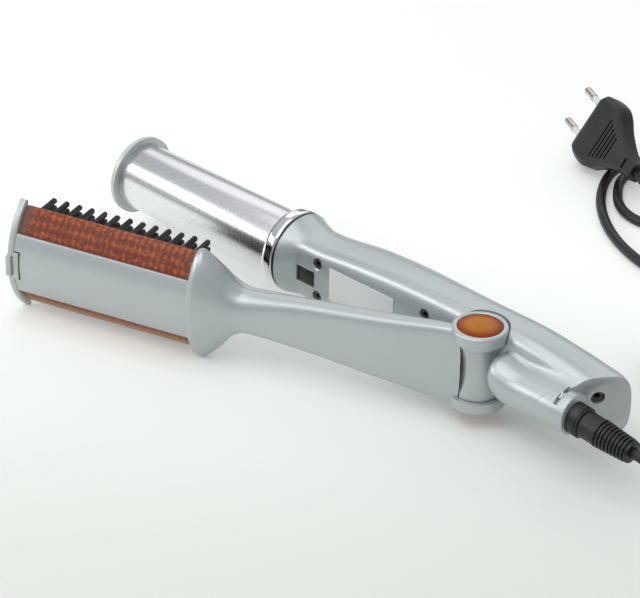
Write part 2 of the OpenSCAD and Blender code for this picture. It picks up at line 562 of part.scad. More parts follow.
// Section drawings are in [depth, height] and stand across the arm at x, for a length
module across(x, length) translate([x, 0, 0]) rotate([90, 0, 90]) linear_extrude(length) children();
module amber_guard() color("orangered") on_arm() across(cup_rim - seat_in, brush_end - cup_rim + seat_in)
  translate([guard_y, 0]) arc_band(guard_r - guard_wall, guard_r, guard_half);
module brush_shield() color("silver") on_arm() difference() {
  across(cup_rim - seat_in, brush_end - cup_rim + seat_in)
    translate([guard_y, 0]) arc_band(guard_r + 0.05, guard_r + 1.05, shield_half);
  translate([brush_end - 3.2, 20, -tab_half - 0.4]) cube([10, 10, 2 * tab_half + 0.8]);
}
tab_half = 6.8;
spine_half = 15.4;
module brush_chassis() color("dimgray") on_arm() across(cup_rim - seat_in, brush_end - cup_rim + seat_in)
  intersection() {
    translate([guard_y, 0]) circle(r = chassis_r, $fn = 120);
    difference() {
      translate([12.5, -spine_half]) square([30, 2 * spine_half]);
      translate([guard_y, 0]) circle(r = chassis_r - 5, $fn = 120);
      translate([0, -spine_half + 2.4]) square([18.5, 2 * spine_half - 4.8]);
    }
  }
// Bristle rows: strands standing on a sloping strip beside the spine
row_heights = [18.1, 21.7];
tuft_from = 3.4;            // from the cup's rim to the first tuft
tuft_end_gap = 5.7;         // from the last tuft to the end cap
tuft_pitch = (brush_len - tuft_from - tuft_end_gap) / (tufts - 1);
tuft_r = 1.15;
strand_r = 0.38;
tip_depth = 1.5;
strip = [[16.3, spine_half + 0.1], [10.5, 23], [9.2, 23], [15, spine_half + 0.1]];
function strip_depth(z) = strip[3][0] + (strip[2][0] - strip[3][0]) * (z - strip[3][1]) / (strip[2][1] - strip[3][1]);
module bristle_row(side) on_arm() mirror([0, 0, side]) {
  across(cup_rim + 0.3, brush_len - 0.6) polygon(strip);
  for (z = row_heights, k = [0 : tufts - 1], j = [0 : strands - 1]) {
    a = j * 360 / (strands - 1);
    r = j == strands - 1 ? 0 : tuft_r;
    x = cup_rim + tuft_from + k * tuft_pitch + r * cos(a);
    tip = tip_depth + (r > 0 ? 0.8 : 0);
    up = z + r * sin(a);
    translate([x, strip_depth(up) + 0.5, up]) rotate([90, 0, 0])
      cylinder(r = strand_r, h = strip_depth(up) + 0.5 - tip, $fn = 3);
  }
}
module bristle_row_upper() color("black") bristle_row(0);
module bristle_row_lower() color("black") bristle_row(1);

// End cap of the brush: a segment of a disc with a bevelled edge, a nub, and a tab over the shield
cap_depth = 24.6;
cap_arc = 35.6;
cap_t = 3.5;
module cap_outline(inset) intersection() {
  translate([cap_depth - cap_arc, 0]) circle(r = cap_arc - inset, $fn = 120);
  translate([9.4 + inset, inset - cup_half]) square([30, 2 * (cup_half - inset)]);
}
module brush_end_cap() color("silver") on_arm() {
  difference() {
    hull() {
      across(brush_end, cap_t) cap_outline(1);
      across(brush_end + 0.9, cap_t - 1.8) cap_outline(0);
    }
    translate([brush_end + cap_t - 0.8, 12, -18]) cube([2, 7, 36]);
  }
  hull() {
    translate([brush_end + 0.6, cap_depth - 3, -6.4]) cube([2.8, 3, 12.8]);
    translate([brush_end + 1, cap_depth - 3, -4.8]) cube([2, 4.8, 9.6]);
  }
  translate([brush_end - 2.7, guard_y + guard_r + 0.1, -tab_half]) cube([3.2, 1.5, 2 * tab_half]);
  across(brush_end - 2.5, 2.6) intersection() {
    translate([guard_y, 0]) circle(r = chassis_r - 5.2, $fn = 120);
    translate([18.7, -11]) square([10, 22]);
  }
}

// Swivelling collar and ribbed strain relief, both bored for the cord
relief_r = 6.2;
relief_end = 6 + relief_len;
ribs = 9;
module swivel_collar() color("black") on_swivel() difference() {
  union() {
    translate([0, 0, -10.8]) cylinder(r = collar_r, h = 16.3);
    translate([0, 0, -14.5]) cylinder(r = neck_r, h = 5);
    translate([0, 0, -17.3]) cylinder(r = 6.3, h = 3);
    translate([0, 0, 5.4]) cylinder(r1 = collar_r, r2 = relief_r + 0.3, h = 0.6);
  }
  translate([0, 0, -20]) cylinder(r = cord_d / 2 + 0.05, h = 40);
}
module strain_relief() color("black") on_swivel() rotate_extrude() polygon(concat(
  [[cord_d / 2 + 0.05, 6], [relief_r, 6], [relief_r, 14]],
  [for (k = [0 : ribs - 1]) let (z = 14 + k * (relief_end - 15.4) / ribs, p = (relief_end - 15.4) / ribs,
      r = relief_r + 0.3 - k * 0.12)
    each [[r, z + 0.02], [r, z + p * 0.55], [r - 1, z + p * 0.6], [r - 1, z + p * 0.98]]],
  [[relief_r - 0.9, relief_end - 1.2], [relief_r - 1.2, relief_end], [cord_d / 2 + 0.05, relief_end]]));

// Swept tube round a list of points, ends square to the run
function unit(v) = v / norm(v);
function run_at(p, i) = i == 0 ? unit(p[1] - p[0]) : i == len(p) - 1 ? unit(p[i] - p[i - 1])
  : unit(unit(p[i + 1] - p[i]) + unit(p[i] - p[i - 1]));
module wound(p, r, sides) loft([for (i = [0 : len(p) - 1]) let (
    t = run_at(p, i),
    side = unit(cross([0, 0, 1], t)),
    up = cross(t, side))
  [for (k = [0 : sides - 1]) let (a = (k + 0.5) * 360 / sides) p[i] + r * (cos(a) * side + sin(a) * up)]]);

// Cord route in rounded places. The lead runs from the strain relief into the coil
cord_z = floor_z + cord_d / 2;
relief_tip = [mouth_x + relief_end * cos(swivel_tilt), tube_y, hinge_half - swivel_low - relief_end * sin(swivel_tilt)];
relief_dir = [cos(swivel_tilt), 0, -sin(swivel_tilt)];
lead_points = [relief_tip, relief_tip + 6 * relief_dir, [102, -1.8, 11.6], [107.5, 0.6, 8.4], [112.5, 4.8, 4.6],
  [116, 10.6, 1], [118, 17.6, -1.8], [119, 25, -3.8], [119.5, 33, -5.2], [119.6, 42, cord_z], [119.6, 52, cord_z],
  [119.4, 63, cord_z], [118.4, 75, cord_z + 0.1], [116, 87, cord_z + 0.4], [112.4, 98, cord_z + 0.7],
  [107.8, 108.7, cord_z + 0.9]];
coil_mid = [66, 102];
coil_out = 38.5;
coil_pitch = 5.7;
coil_layer = 5.6;
coil_low = floor_z + 1 + cord_d / 2;
coil_in_angle = 40;
coil_turns = 2.8;           // turns of each layer, with half a turn between them
coil_steps = 24;
module cord_lead() color("black") wound(concat(lead_points, [coil_start - 6 * coil_start_dir, coil_start]), cord_d / 2, 8);

// Coil: spirals in on the lower layer, climbs while it turns at the middle, spirals out above
coil_total = (2 * coil_turns + 0.5);
function coil_radius(t) = coil_out - coil_pitch * min(t, coil_total - t);
function coil_height(t) = coil_low + coil_layer * (t < coil_turns ? 0 : t > coil_turns + 0.5 ? 1
  : (1 - cos(180 * (t - coil_turns) / 0.5)) / 2);
function coil_point(t) = let (a = coil_in_angle + 360 * t)
  [coil_mid[0] + coil_radius(t) * cos(a), coil_mid[1] + coil_radius(t) * sin(a), coil_height(t)];
coil_path = [for (i = [0 : floor(coil_total * coil_steps)]) coil_point(i * coil_total / floor(coil_total * coil_steps))];
coil_start_dir = [-sin(coil_in_angle), cos(coil_in_angle), 0];
coil_end_angle = coil_in_angle + 360 * coil_total;
coil_end_dir = [-sin(coil_end_angle), cos(coil_end_angle), 0];
coil_start = coil_path[0] - cord_d * coil_start_dir;
coil_end = coil_path[len(coil_path) - 1] + cord_d * coil_end_dir;
coil_all = concat([coil_start], coil_path, [coil_end]);
module cord_coil() color("black") wound(coil_all, cord_d / 2, 6);

// Least gap of the coil to itself, measured between points more than half a turn apart
coil_gap = min([for (i = [0 : len(coil_all) - 1], j = [i + coil_steps / 2 : 1 : len(coil_all) - 1])
  norm(coil_all[i] - coil_all[j])]) - cord_d;
function length_of(p, i = 0) = i >= len(p) - 1 ? 0 : norm(p[i + 1] - p[i]) + length_of(p, i + 1);
// Plug, lying on its edge: local x points along the pins, y across them
plug_at = [-117.5, 223.3, floor_z + 19.4];
plug_turn = [120.8, -4.2, 155.3];
module on_plug() translate(plug_at) rotate(plug_turn) children();
plug_back = 49;
// The neck's end in the world, and one cord width beyond it
function turned(v, t) = let (
    a = [v[0], v[1] * cos(t[0]) - v[2] * sin(t[0]), v[1] * sin(t[0]) + v[2] * cos(t[0])],
    b = [a[0] * cos(t[1]) + a[2] * sin(t[1]), a[1], -a[0] * sin(t[1]) + a[2] * cos(t[1])])
  [b[0] * cos(t[2]) - b[1] * sin(t[2]), b[0] * sin(t[2]) + b[1] * cos(t[2]), b[2]];
plug_neck = plug_at + turned([-plug_back, 0, 0], plug_turn);
plug_neck_out = plug_at + turned([-plug_back - 6, 0, 0], plug_turn);

// The tail runs from the coil, loops twice by the plug and rises into the plug's neck
tail_points = [coil_end + 6 * coil_end_dir, [53, 144.2, -0.6], [41, 145.6, -2.4], [29, 146.2, -4.2],
  [17, 146.8, -5.6], [4, 147.9, cord_z], [-9, 149.8, cord_z], [-22, 152.6, cord_z],
  [-37, 156.7, cord_z],
  [-50, 162, cord_z], [-62, 169, cord_z], [-72.5, 177.3, cord_z], [-81.4, 186.3, cord_z], [-88.2, 195.3, cord_z],
  [-93.8, 205, cord_z], [-97.3, 214.5, cord_z], [-98.2, 223.5, cord_z], [-95.5, 232.5, cord_z], [-89, 240, cord_z],
  [-79.5, 245, cord_z], [-68, 247, cord_z], [-55, 246, cord_z], [-43, 241.5, cord_z], [-33.5, 233, cord_z],
  [-28.5, 221.5, cord_z], [-28.5, 209, cord_z], [-33.5, 198, cord_z], [-42, 190, cord_z], [-53, 185.7, cord_z],
  [-64.5, 186.5, cord_z], [-74.5, 192, cord_z], [-82.3, 200.6, cord_z], [-88, 209.5, cord_z], [-90.5, 219, cord_z],
  [-88, 228.5, cord_z], [-81, 235.5, cord_z], [-71.5, 239, cord_z], [-61, 239, cord_z], [-51.5, 234.5, cord_z + 0.6],
  [-44.5, 227, -4.6], [-40, 218, -2.4], [-39.8, 208.5, 0.6], [-44.5, 200.8, 3.4], [-52.5, 197, 5.4],
  [-61, 196.9, 6.8], plug_neck_out, plug_neck];
echo(coil_gap = coil_gap, cord_length = length_of(concat(lead_points, [coil_start])) + length_of(coil_all)
  + length_of(concat([coil_end], tail_points)));
module cord_tail() color("black") wound(concat([coil_end], tail_points), cord_d / 2, 8);

// Tie round the coil
tie_angle = 200;
module cord_tie() color("black") translate([coil_mid[0], coil_mid[1], 0]) rotate([0, 0, tie_angle])
  translate([0, 3, 0]) rotate([90, 0, 0]) linear_extrude(6) difference() {
    translate([coil_out - coil_pitch * (coil_turns + 0.5) - 4, floor_z]) square([coil_pitch * (coil_turns + 0.5) + 8.6,
      cord_d + coil_layer + 2]);
    translate([coil_out - coil_pitch * (coil_turns + 0.5) - 3.2, floor_z + 0.8])
      square([coil_pitch * (coil_turns + 0.5) + 7, cord_d + coil_layer + 0.4]);
  }

pin_pitch = 18.6;
plug_core_r = 1.4;          // core of a pin inside its sleeve
sleeve_end = 9.9;
plug_half = [[-plug_back, 4.6], [-42.6, 5.2], [-34.6, 7.5], [-28.6, 10.1], [-23, 13.1], [-18.5, 16.2], [-15, 17.6],
  [-12, 18], [-5.6, 17.6], [-1.5, 16.4], [0, 14.9]];
plug_thick = [[-plug_back, 4.2], [-42.6, 4.6], [-34, 5.4], [-25, 6.2], [-12, 6.8], [-4, 6.4], [-1.5, 5.9], [0, 4.8]];
plug_square = [[-plug_back, 2], [-34, 2.6], [-22, 3.6], [0, 4]];
plug_stations = [-plug_back, -46, -42.6, -38, -34.6, -31, -28.6, -25.5, -23, -20.5, -18.5, -16.5, -15, -12, -9, -5.6,
  -3, -1.5, -0.6, 0];
function groove_half(k) = 11 - 1.2 * k;
function groove_floor(k) = 5.85 - 0.22 * k;
module plug_body() color("black") on_plug() difference() {
  loft([for (u = plug_stations)
    [for (p = rounded(curve(plug_half, u), curve(plug_thick, u), curve(plug_square, u), 0, 345, 23)) [u, p[0], p[1]]]]);
  for (s = [-1, 1]) translate([-8, s * pin_pitch / 2, 0]) rotate([0, 90, 0]) cylinder(r = plug_core_r + 0.02, h = 10);
  for (s = [-1, 1], k = [0 : 4]) translate([-19 - 2.5 * k, -groove_half(k), s > 0 ? groove_floor(k) : -groove_floor(k) - 3])
    cube([1.2, 2 * groove_half(k), 3]);
  translate([-42.6, -2.7, -6.8]) cube([1.8, 5.4, 3]);
}
module plug_pins() color("gainsboro") on_plug() for (s = [-1, 1])
  translate([0, s * pin_pitch / 2, 0]) rotate([0, 90, 0]) {
    translate([0, 0, -7.5]) cylinder(r = plug_core_r, h = plug_pin_len);
    translate([0, 0, sleeve_end + 0.1]) cylinder(r = plug_pin_r, h = plug_pin_len - 1.1 - sleeve_end);
    translate([0, 0, plug_pin_len - 1]) cylinder(r1 = plug_pin_r, r2 = plug_pin_r - 0.9, h = 1);
  }
module plug_sleeves() color("whitesmoke") on_plug() for (s = [-1, 1])
  translate([0.02, s * pin_pitch / 2, 0]) rotate([0, 90, 0]) difference() {
    cylinder(r = plug_pin_r - 0.25, h = sleeve_end);
    translate([0, 0, -1]) cylinder(r = plug_core_r + 0.02, h = 12);
  }

rear_housing();
front_housing();
housing_screws();
tail_screw();
label_plate();
barrel_collar();
chrome_ring();
bulkhead();
core_tube();
heater_core();
tip_bush();
barrel_tube();
barrel_end_cap();
drive_hub();
motor();
motor_pinion();
control_board();
micro_switch();
switch_plunger();
heat_slider();
heat_switch();
hinge_pin();
torsion_spring();
hinge_cap_top();
hinge_cap_bottom();
arm_shell();
arm_inner_cover();
arm_screws();
brush_chassis();
amber_guard();
brush_shield();
bristle_row_upper();
bristle_row_lower();
brush_end_cap();
swivel_collar();
strain_relief();
cord_lead();
cord_coil();
cord_tail();
cord_tie();
plug_body();
plug_pins();
plug_sleeves();
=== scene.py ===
import math

import bmesh
import bpy
from mathutils import Euler, Matrix, Vector


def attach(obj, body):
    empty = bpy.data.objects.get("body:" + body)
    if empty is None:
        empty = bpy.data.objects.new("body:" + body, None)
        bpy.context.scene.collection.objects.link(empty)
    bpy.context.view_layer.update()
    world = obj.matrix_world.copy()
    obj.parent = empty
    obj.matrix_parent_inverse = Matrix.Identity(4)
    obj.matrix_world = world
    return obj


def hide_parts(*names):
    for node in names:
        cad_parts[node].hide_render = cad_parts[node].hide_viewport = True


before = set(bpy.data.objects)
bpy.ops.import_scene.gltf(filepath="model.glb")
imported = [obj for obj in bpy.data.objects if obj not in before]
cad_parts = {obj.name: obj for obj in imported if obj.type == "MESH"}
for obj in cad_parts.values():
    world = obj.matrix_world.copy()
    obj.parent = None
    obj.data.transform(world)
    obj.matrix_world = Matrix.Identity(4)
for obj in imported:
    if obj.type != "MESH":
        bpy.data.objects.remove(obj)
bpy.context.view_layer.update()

# Camera: a long lens from the front right, a little above the table, as in the photograph.
# It looks at the middle of the visible part of the iron, and is rolled by about one degree.
azimuth = math.radians(42.79)
elevation = math.radians(30.74)
roll = math.radians(1.10)
target = Vector((-0.0867, -0.00896, 0.0194))
distance = 1.502
back = Vector((math.sin(azimuth) * math.cos(elevation), -math.cos(azimuth) * math.cos(elevation),
               math.sin(elevation)))
level = Vector((math.cos(azimuth), math.sin(azimuth), 0))
above = back.cross(level)
right = level * math.cos(roll) + above * math.sin(roll)
up = above * math.cos(roll) - level * math.sin(roll)


def in_scene(name, data):
    """A new object with the given data, in the scene."""
    obj = bpy.data.objects.new(name, data)
    bpy.context.scene.collection.objects.link(obj)
    return obj


camera = in_scene("camera", bpy.data.cameras.new("camera"))
camera.data.sensor_width = 36
camera.data.lens = 187.88
camera.data.clip_start = 0.05
camera.data.clip_end = 20
camera_turn = Matrix((right, up, back)).transposed().to_4x4()
camera.matrix_world = Matrix.Translation(target + back * distance) @ camera_turn
bpy.context.scene.camera = camera

# Mains cord: black flexible PVC over two cores, 5 mm thick and about 1.8 m long.
# It leaves the strain relief, is wound in a flat coil of two layers beside the handle,
# and makes two loops by the plug before it goes into the plug's neck.
mm = 0.001
table_z = -8.6
cord_d = 5
lying = table_z + cord_d / 2
relief_reach = 32
relief_tilt = math.radians(6)
relief_way = Vector((math.cos(relief_tilt), 0, -math.sin(relief_tilt)))
relief_mouth = Vector((56.6, -2.4, 18.2))
relief_tip = relief_mouth + relief_reach * relief_way
straight = 6
lead = [relief_tip, relief_tip + straight * relief_way, (102, -1.8, 11.6), (107.5, 0.6, 8.4),
        (112.5, 4.8, 4.6), (116, 10.6, 1), (118, 17.6, -1.8), (119, 25, -3.8), (119.5, 33, -5.2),
        (119.6, 42, lying), (119.6, 52, lying), (119.4, 63, lying), (118.4, 75, lying + 0.1),
        (116, 87, lying + 0.4), (112.4, 98, lying + 0.7), (107.8, 108.7, lying + 0.9)]
coil_middle = Vector((66, 102, 0))
coil_out = 38.5
coil_pitch = 5.7
coil_rise = 5.6
coil_first = math.radians(40)
coil_turns = 2.8
coil_total = 2 * coil_turns + 0.5
coil_steps = int(coil_total * 24)


def coil_point(turn):
    """Place on the coil: it spirals in on the lower layer, climbs in half a turn and spirals out."""
    angle = coil_first + 2 * math.pi * turn
    radius = coil_out - coil_pitch * min(turn, coil_total - turn)
    climb = min(max((turn - coil_turns) / 0.5, 0), 1)
    height = table_z + 1 + cord_d / 2 + coil_rise * (1 - math.cos(math.pi * climb)) / 2
    return coil_middle + Vector((radius * math.cos(angle), radius * math.sin(angle), height))


def coil_way(turn):
    """Direction in which the coil runs after a number of turns."""
    angle = coil_first + 2 * math.pi * turn
    return Vector((-math.sin(angle), math.cos(angle), 0))


def at(x, y, z):
    """A shift by millimetres along the axes."""
    return Matrix.Translation((x, y, z))


coil = [coil_point(k * coil_total / coil_steps) for k in range(coil_steps + 1)]
coil_start = coil[0] - cord_d * coil_way(0)
coil_end = coil[-1] + cord_d * coil_way(coil_total)
plug_place = at(-117.5, 223.3, table_z + 19.4) @ Euler(
    [math.radians(a) for a in (120.8, -4.2, 155.3)], "XYZ").to_matrix().to_4x4()
plug_back = 49
flat_run = [(4, 147.9), (-9, 149.8), (-22, 152.6), (-37, 156.7), (-50, 162), (-62, 169), (-72.5, 177.3),
            (-81.4, 186.3), (-88.2, 195.3), (-93.8, 205), (-97.3, 214.5), (-98.2, 223.5), (-95.5, 232.5),
            (-89, 240), (-79.5, 245), (-68, 247), (-55, 246), (-43, 241.5), (-33.5, 233), (-28.5, 221.5),
            (-28.5, 209), (-33.5, 198), (-42, 190), (-53, 185.7), (-64.5, 186.5), (-74.5, 192),
            (-82.3, 200.6), (-88, 209.5), (-90.5, 219), (-88, 228.5), (-81, 235.5), (-71.5, 239), (-61, 239)]
tail = [coil_end + straight * coil_way(coil_total), (53, 144.2, -0.6), (41, 145.6, -2.4), (29, 146.2, -4.2),
        (17, 146.8, -5.6), *[(x, y, lying) for x, y in flat_run], (-51.5, 234.5, lying + 0.6),
        (-44.5, 227, -4.6), (-40, 218, -2.4), (-39.8, 208.5, 0.6), (-44.5, 200.8, 3.4), (-52.5, 197, 5.4),
        (-61, 196.9, 6.8), plug_place @ Vector((-plug_back - straight, 0, 0)),
        plug_place @ Vector((-plug_back, 0, 0))]
route = lead + [coil_start - straight * coil_way(0), coil_start] + coil + [coil_end] + tail
route = [Vector(p) for p in route]


def smooth_run(points, pieces):
    """More points on a curve that passes through the given ones."""
    run = []
    for k in range(len(points) - 1):
        a, b = points[max(k - 1, 0)], points[k]
        c, d = points[k + 1], points[min(k + 2, len(points) - 1)]
        for j in range(pieces):
            t = j / pieces
            run.append(0.5 * (2 * b + t * (c - a) + t * t * (2 * a - 5 * b + 4 * c - d)
                              + t ** 3 * (3 * b - a - 3 * c + d)))
    return run + [points[-1]]


def kept_in(run, points):
    """The run moved back inside the box of the points that it was drawn through."""
    low = [min(p[k] for p in points) for k in range(3)]
    high = [max(p[k] for p in points) for k in range(3)]
    return [Vector([min(max(p[k], low[k]), high[k]) for k in range(3)]) for p in run]


def round_wire(name, points, radius, fineness):
    """A round wire or cord through points in millimetres, closed at both ends."""
    line = bpy.data.curves.new(name, "CURVE")
    line.dimensions = "3D"
    line.bevel_depth = radius * mm
    line.bevel_resolution = fineness
    line.use_fill_caps = True
    run = line.splines.new("POLY")
    run.points.add(len(points) - 1)
    for point, place in zip(run.points, points):
        point.co = (*(place * mm), 1)
    return in_scene(name, line)


cord_line = kept_in(smooth_run(route, 3), route)
mains_cord = round_wire("mains_cord", cord_line, cord_d / 2, 5)


class Nodes:
    """A node tree, with short ways to add nodes to it and to feed their inputs."""

    def __init__(self, tree):
        self.tree = tree

    def feed(self, node, inputs):
        for socket, value in inputs.items():
            if isinstance(value, bpy.types.NodeSocket):
                self.tree.links.new(value, node.inputs[socket])
            else:
                node.inputs[socket].default_value = value
        return node

    def add(self, kind, inputs=None, **settings):
        node = self.tree.nodes.new(kind)
        for name, value in settings.items():
            setattr(node, name, value)
        return self.feed(node, inputs or {})

    def reckon(self, operation, a, b=0.0):
        return self.add("ShaderNodeMath", {0: a, 1: b}, operation=operation).outputs[0]

    def vector(self, x=0.0, y=0.0, z=0.0):
        return self.add("ShaderNodeCombineXYZ", {0: x, 1: y, 2: z}).outputs[0]

    def noise(self, place, scale, detail):
        inputs = {"Vector": place, "Scale": scale, "Detail": detail}
        return self.add("ShaderNodeTexNoise", inputs).outputs["Fac"]

    def stepped(self, value, low, high, top=1.0, kind="SMOOTHSTEP"):
        """Rises from 0 to the top as the value goes from low to high."""
        limits = {"Value": value, "From Min": low, "From Max": high, "To Max": top}
        return self.add("ShaderNodeMapRange", limits, interpolation_type=kind).outputs[0]

    def mixed(self, share, a, b):
        inputs = {"Factor": share, "A": a, "B": b}
        return self.add("ShaderNodeMix", inputs, data_type="RGBA").outputs["Result"]


def new_group(name, kind, inputs, outputs):
    """A node group. Each input's value tells its kind of socket, or a word names the kind."""
    group = bpy.data.node_groups.new(name, kind)
    for title, value in inputs.items():
        if isinstance(value, str):
            group.interface.new_socket(title, in_out="INPUT", socket_type="NodeSocket" + value)
            continue
        if isinstance(value, tuple):
            word = "Color" if len(value) == 4 else "Vector"
        else:
            word = "Int" if isinstance(value, int) else "Float"
        socket = group.interface.new_socket(title, in_out="INPUT", socket_type="NodeSocket" + word)
        socket.default_value = value
    for title, word in outputs.items():
        group.interface.new_socket(title, in_out="OUTPUT", socket_type="NodeSocket" + word)
    made = Nodes(group)
    return made, made.add("NodeGroupInput").outputs, made.add("NodeGroupOutput")


def surface_group():
    """Colour, roughness and height of a worked surface: soft clouds, fine grain and a few scuffs."""
    made, given, out = new_group("worked_surface", "ShaderNodeTree", {
        "Colour": (0.5, 0.5, 0.5, 1), "Roughness": 0.4, "Cloud Scale": 60.0, "Cloud Amount": 0.08,
        "Grain Scale": 1500.0, "Grain Amount": 0.1, "Scuff Amount": 0.1, "Stretch": (1, 1, 1)},
        {"Colour": "Color", "Roughness": "Float", "Height": "Float"})
    place = made.add("ShaderNodeTexCoord").outputs["Object"]
    stretched = made.add("ShaderNodeVectorMath", {0: place, 1: given["Stretch"]},
                         operation="MULTIPLY").outputs[0]
    cloud = made.noise(stretched, given["Cloud Scale"], 3)
    grain = made.noise(stretched, given["Grain Scale"], 2)
    scratched = made.stepped(made.noise(stretched, 260, 6), 0.58, 0.72, kind="LINEAR")
    worn = made.reckon("MULTIPLY", scratched, given["Scuff Amount"])
    tone = made.reckon("ADD", *[made.reckon("MULTIPLY", made.reckon("SUBTRACT", value, 0.5), given[amount])
                                for value, amount in ((cloud, "Cloud Amount"), (grain, "Grain Amount"))])
    shade = made.add("ShaderNodeVectorMath", {0: given["Colour"], "Scale": made.reckon("ADD", tone, 1)},
                     operation="SCALE")
    rough = made.reckon("ADD", made.reckon("ADD", given["Roughness"], worn), tone)
    dented = made.reckon("ADD", grain, made.reckon("MULTIPLY", worn, -6))
    made.feed(out, {"Colour": shade.outputs[0], "Roughness": rough, "Height": dented})
    return made.tree


worked_surface = surface_group()


def finish_of(name, colour, roughness, cloud=(60, 0.08), grain=(1500, 0.1), scuff=0.08, depth=0.02,
              stretch=(1, 1, 1), **sockets):
    """A material whose colour, roughness and bump come from the worked surface. The colour is a triple,
    or a node group that gives it, with that group's inputs."""
    material = bpy.data.materials.new(name)
    material.use_nodes = True
    made = Nodes(material.node_tree)
    if isinstance(colour[0], bpy.types.NodeTree):
        shade = made.add("ShaderNodeGroup", colour[1], node_tree=colour[0]).outputs["Colour"]
    else:
        shade = (*colour, 1)
    surface = made.add("ShaderNodeGroup", {
        "Colour": shade, "Roughness": roughness, "Cloud Scale": cloud[0], "Cloud Amount": cloud[1],
        "Grain Scale": grain[0], "Grain Amount": grain[1], "Scuff Amount": scuff, "Stretch": stretch},
        node_tree=worked_surface)
    bump = made.add("ShaderNodeBump", {"Strength": 1, "Distance": depth * mm,
                                       "Height": surface.outputs["Height"]})
    made.feed(material.node_tree.nodes["Principled BSDF"], {
        "Base Color": surface.outputs["Colour"], "Roughness": surface.outputs["Roughness"],
        "Normal": bump.outputs["Normal"], **{key.replace("_", " "): value for key, value in sockets.items()}})
    return material


cord_black = finish_of("cord_black", (0.012, 0.012, 0.013), 0.42, cloud=(90, 0.3), grain=(900, 0.3),
                       depth=0.03)
mains_cord.data.materials.append(cord_black)

# Plug: a flat two-pin mains plug in black rubber, moulded over its cord, with a grooved grip.
# Its pins are nickel plated, with white sleeves on their inner half. It lies on its edge.


def settle(obj):
    """The object with its modifiers worked into a plain mesh."""
    result = bpy.data.meshes.new_from_object(obj.evaluated_get(bpy.context.evaluated_depsgraph_get()))
    obj.modifiers.clear()
    obj.data = result
    return obj


def as_object(name, bm):
    """A mesh object from worked faces, turned outwards."""
    bmesh.ops.recalc_face_normals(bm, faces=bm.faces)
    mesh = bpy.data.meshes.new(name)
    bm.to_mesh(mesh)
    bm.free()
    return in_scene(name, mesh)


def show(obj, material, body, slot, *nodes, crease=32):
    """Gives a finished piece its material and its place in the frame."""
    obj.data.materials.clear()
    obj.data.materials.append(material)
    if obj.type == "MESH":
        obj.data.shade_smooth()
        obj.data.set_sharp_from_angle(angle=math.radians(crease))
    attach(obj, body)
    if nodes:
        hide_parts(*nodes)
    return obj


def loft(name, rings, place):
    """A closed solid through rings of points in millimetres, in a place of the tool."""
    bm = bmesh.new()
    rows = [[bm.verts.new((place @ Vector(p)) * mm) for p in ring] for ring in rings]
    count = len(rows[0])
    for near, far in zip(rows, rows[1:]):
        for i in range(count):
            j = (i + 1) % count
            bm.faces.new((near[i], near[j], far[j], far[i]))
    bm.faces.new(rows[0])
    bm.faces.new(rows[-1])
    return as_object(name, bm)


def turned(name, outline, place, steps=96):
    """A solid turned about the place's z axis from a closed outline of (radius, height)."""
    bm = bmesh.new()
    rows = [[bm.verts.new((place @ Vector((r * math.cos(a), r * math.sin(a), h))) * mm) for r, h in outline]
            for a in (2 * math.pi * k / steps for k in range(steps))]
    for k in range(steps):
        near, far = rows[k], rows[(k + 1) % steps]
        for i in range(len(outline)):
            j = (i + 1) % len(outline)
            if outline[i][0] > 0 or outline[j][0] > 0:
                bm.faces.new((near[i], near[j], far[j], far[i]))
    bmesh.ops.remove_doubles(bm, verts=bm.verts, dist=1e-7)
    return as_object(name, bm)


def eased(points, radius, steps=3):
    """The outline with its corners rounded, apart from those on the axis."""
    out = []
    for k, p in enumerate(points):
        here = Vector(p)
        before, after = Vector(points[k - 1]) - here, Vector(points[(k + 1) % len(points)]) - here
        if here[0] == 0 or radius == 0:
            out.append(tuple(here))
            continue
        a = before.normalized() * min(radius, 0.45 * before.length)
        b = after.normalized() * min(radius, 0.45 * after.length)
        for j in range(steps + 1):
            t = j / steps
            out.append(tuple(here + a * (1 - t) ** 2 + b * t * t))
    return out


def block(name, low, high, place, edge=0):
    """A box with eased edges, its long corners along the place's x axis."""
    def face(x, inset):
        outline = [(low[1] + inset, low[2] + inset), (high[1] - inset, low[2] + inset),
                   (high[1] - inset, high[2] - inset), (low[1] + inset, high[2] - inset)]
        return [(x, *p) for p in (eased(outline, edge) if edge else outline)]
    levels = [(low[0], 0), (high[0], 0)]
    if edge:
        levels = [(low[0], edge), (low[0] + 0.3 * edge, 0.3 * edge), (low[0] + edge, 0),
                  (high[0] - edge, 0), (high[0] - 0.3 * edge, 0.3 * edge), (high[0], edge)]
    return loft(name, [face(x, inset) for x, inset in levels], place)


def work(obj, operation, tools):
    """Cuts the tools out of a solid, or joins them to it, and clears them away."""
    for tool in tools:
        step = obj.modifiers.new("work", "BOOLEAN")
        step.operation = operation
        step.solver = "EXACT"
        step.object = tool
    settle(obj)
    for tool in tools:
        bpy.data.objects.remove(tool)
    return obj


def cut(obj, *tools):
    """The solid without the tools' room."""
    return work(obj, "DIFFERENCE", tools)


def rotation(degrees, axis):
    """A turn about an axis."""
    return Matrix.Rotation(math.radians(degrees), 4, axis)


plug_half = [(-plug_back, 4.6), (-42.6, 5.2), (-34.6, 7.5), (-28.6, 10.1), (-23, 13.1), (-18.5, 16.2),
             (-15, 17.6), (-12, 18), (-5.6, 17.6), (-1.5, 16.4), (0, 14.9)]
plug_thick = [(-plug_back, 4.2), (-42.6, 4.6), (-34, 5.4), (-25, 6.2), (-12, 6.8), (-4, 6.4), (-1.5, 5.9),
              (0, 4.8)]
plug_chamfer = [(-plug_back, 1.9), (-34, 2.2), (-20, 2.8), (0, 2.6)]
pin_pitch = 18.6
pin_r = 2
pin_core_r = 1.4
pin_reach = 19
pin_depth = 7.5
sleeve_end = 9.9


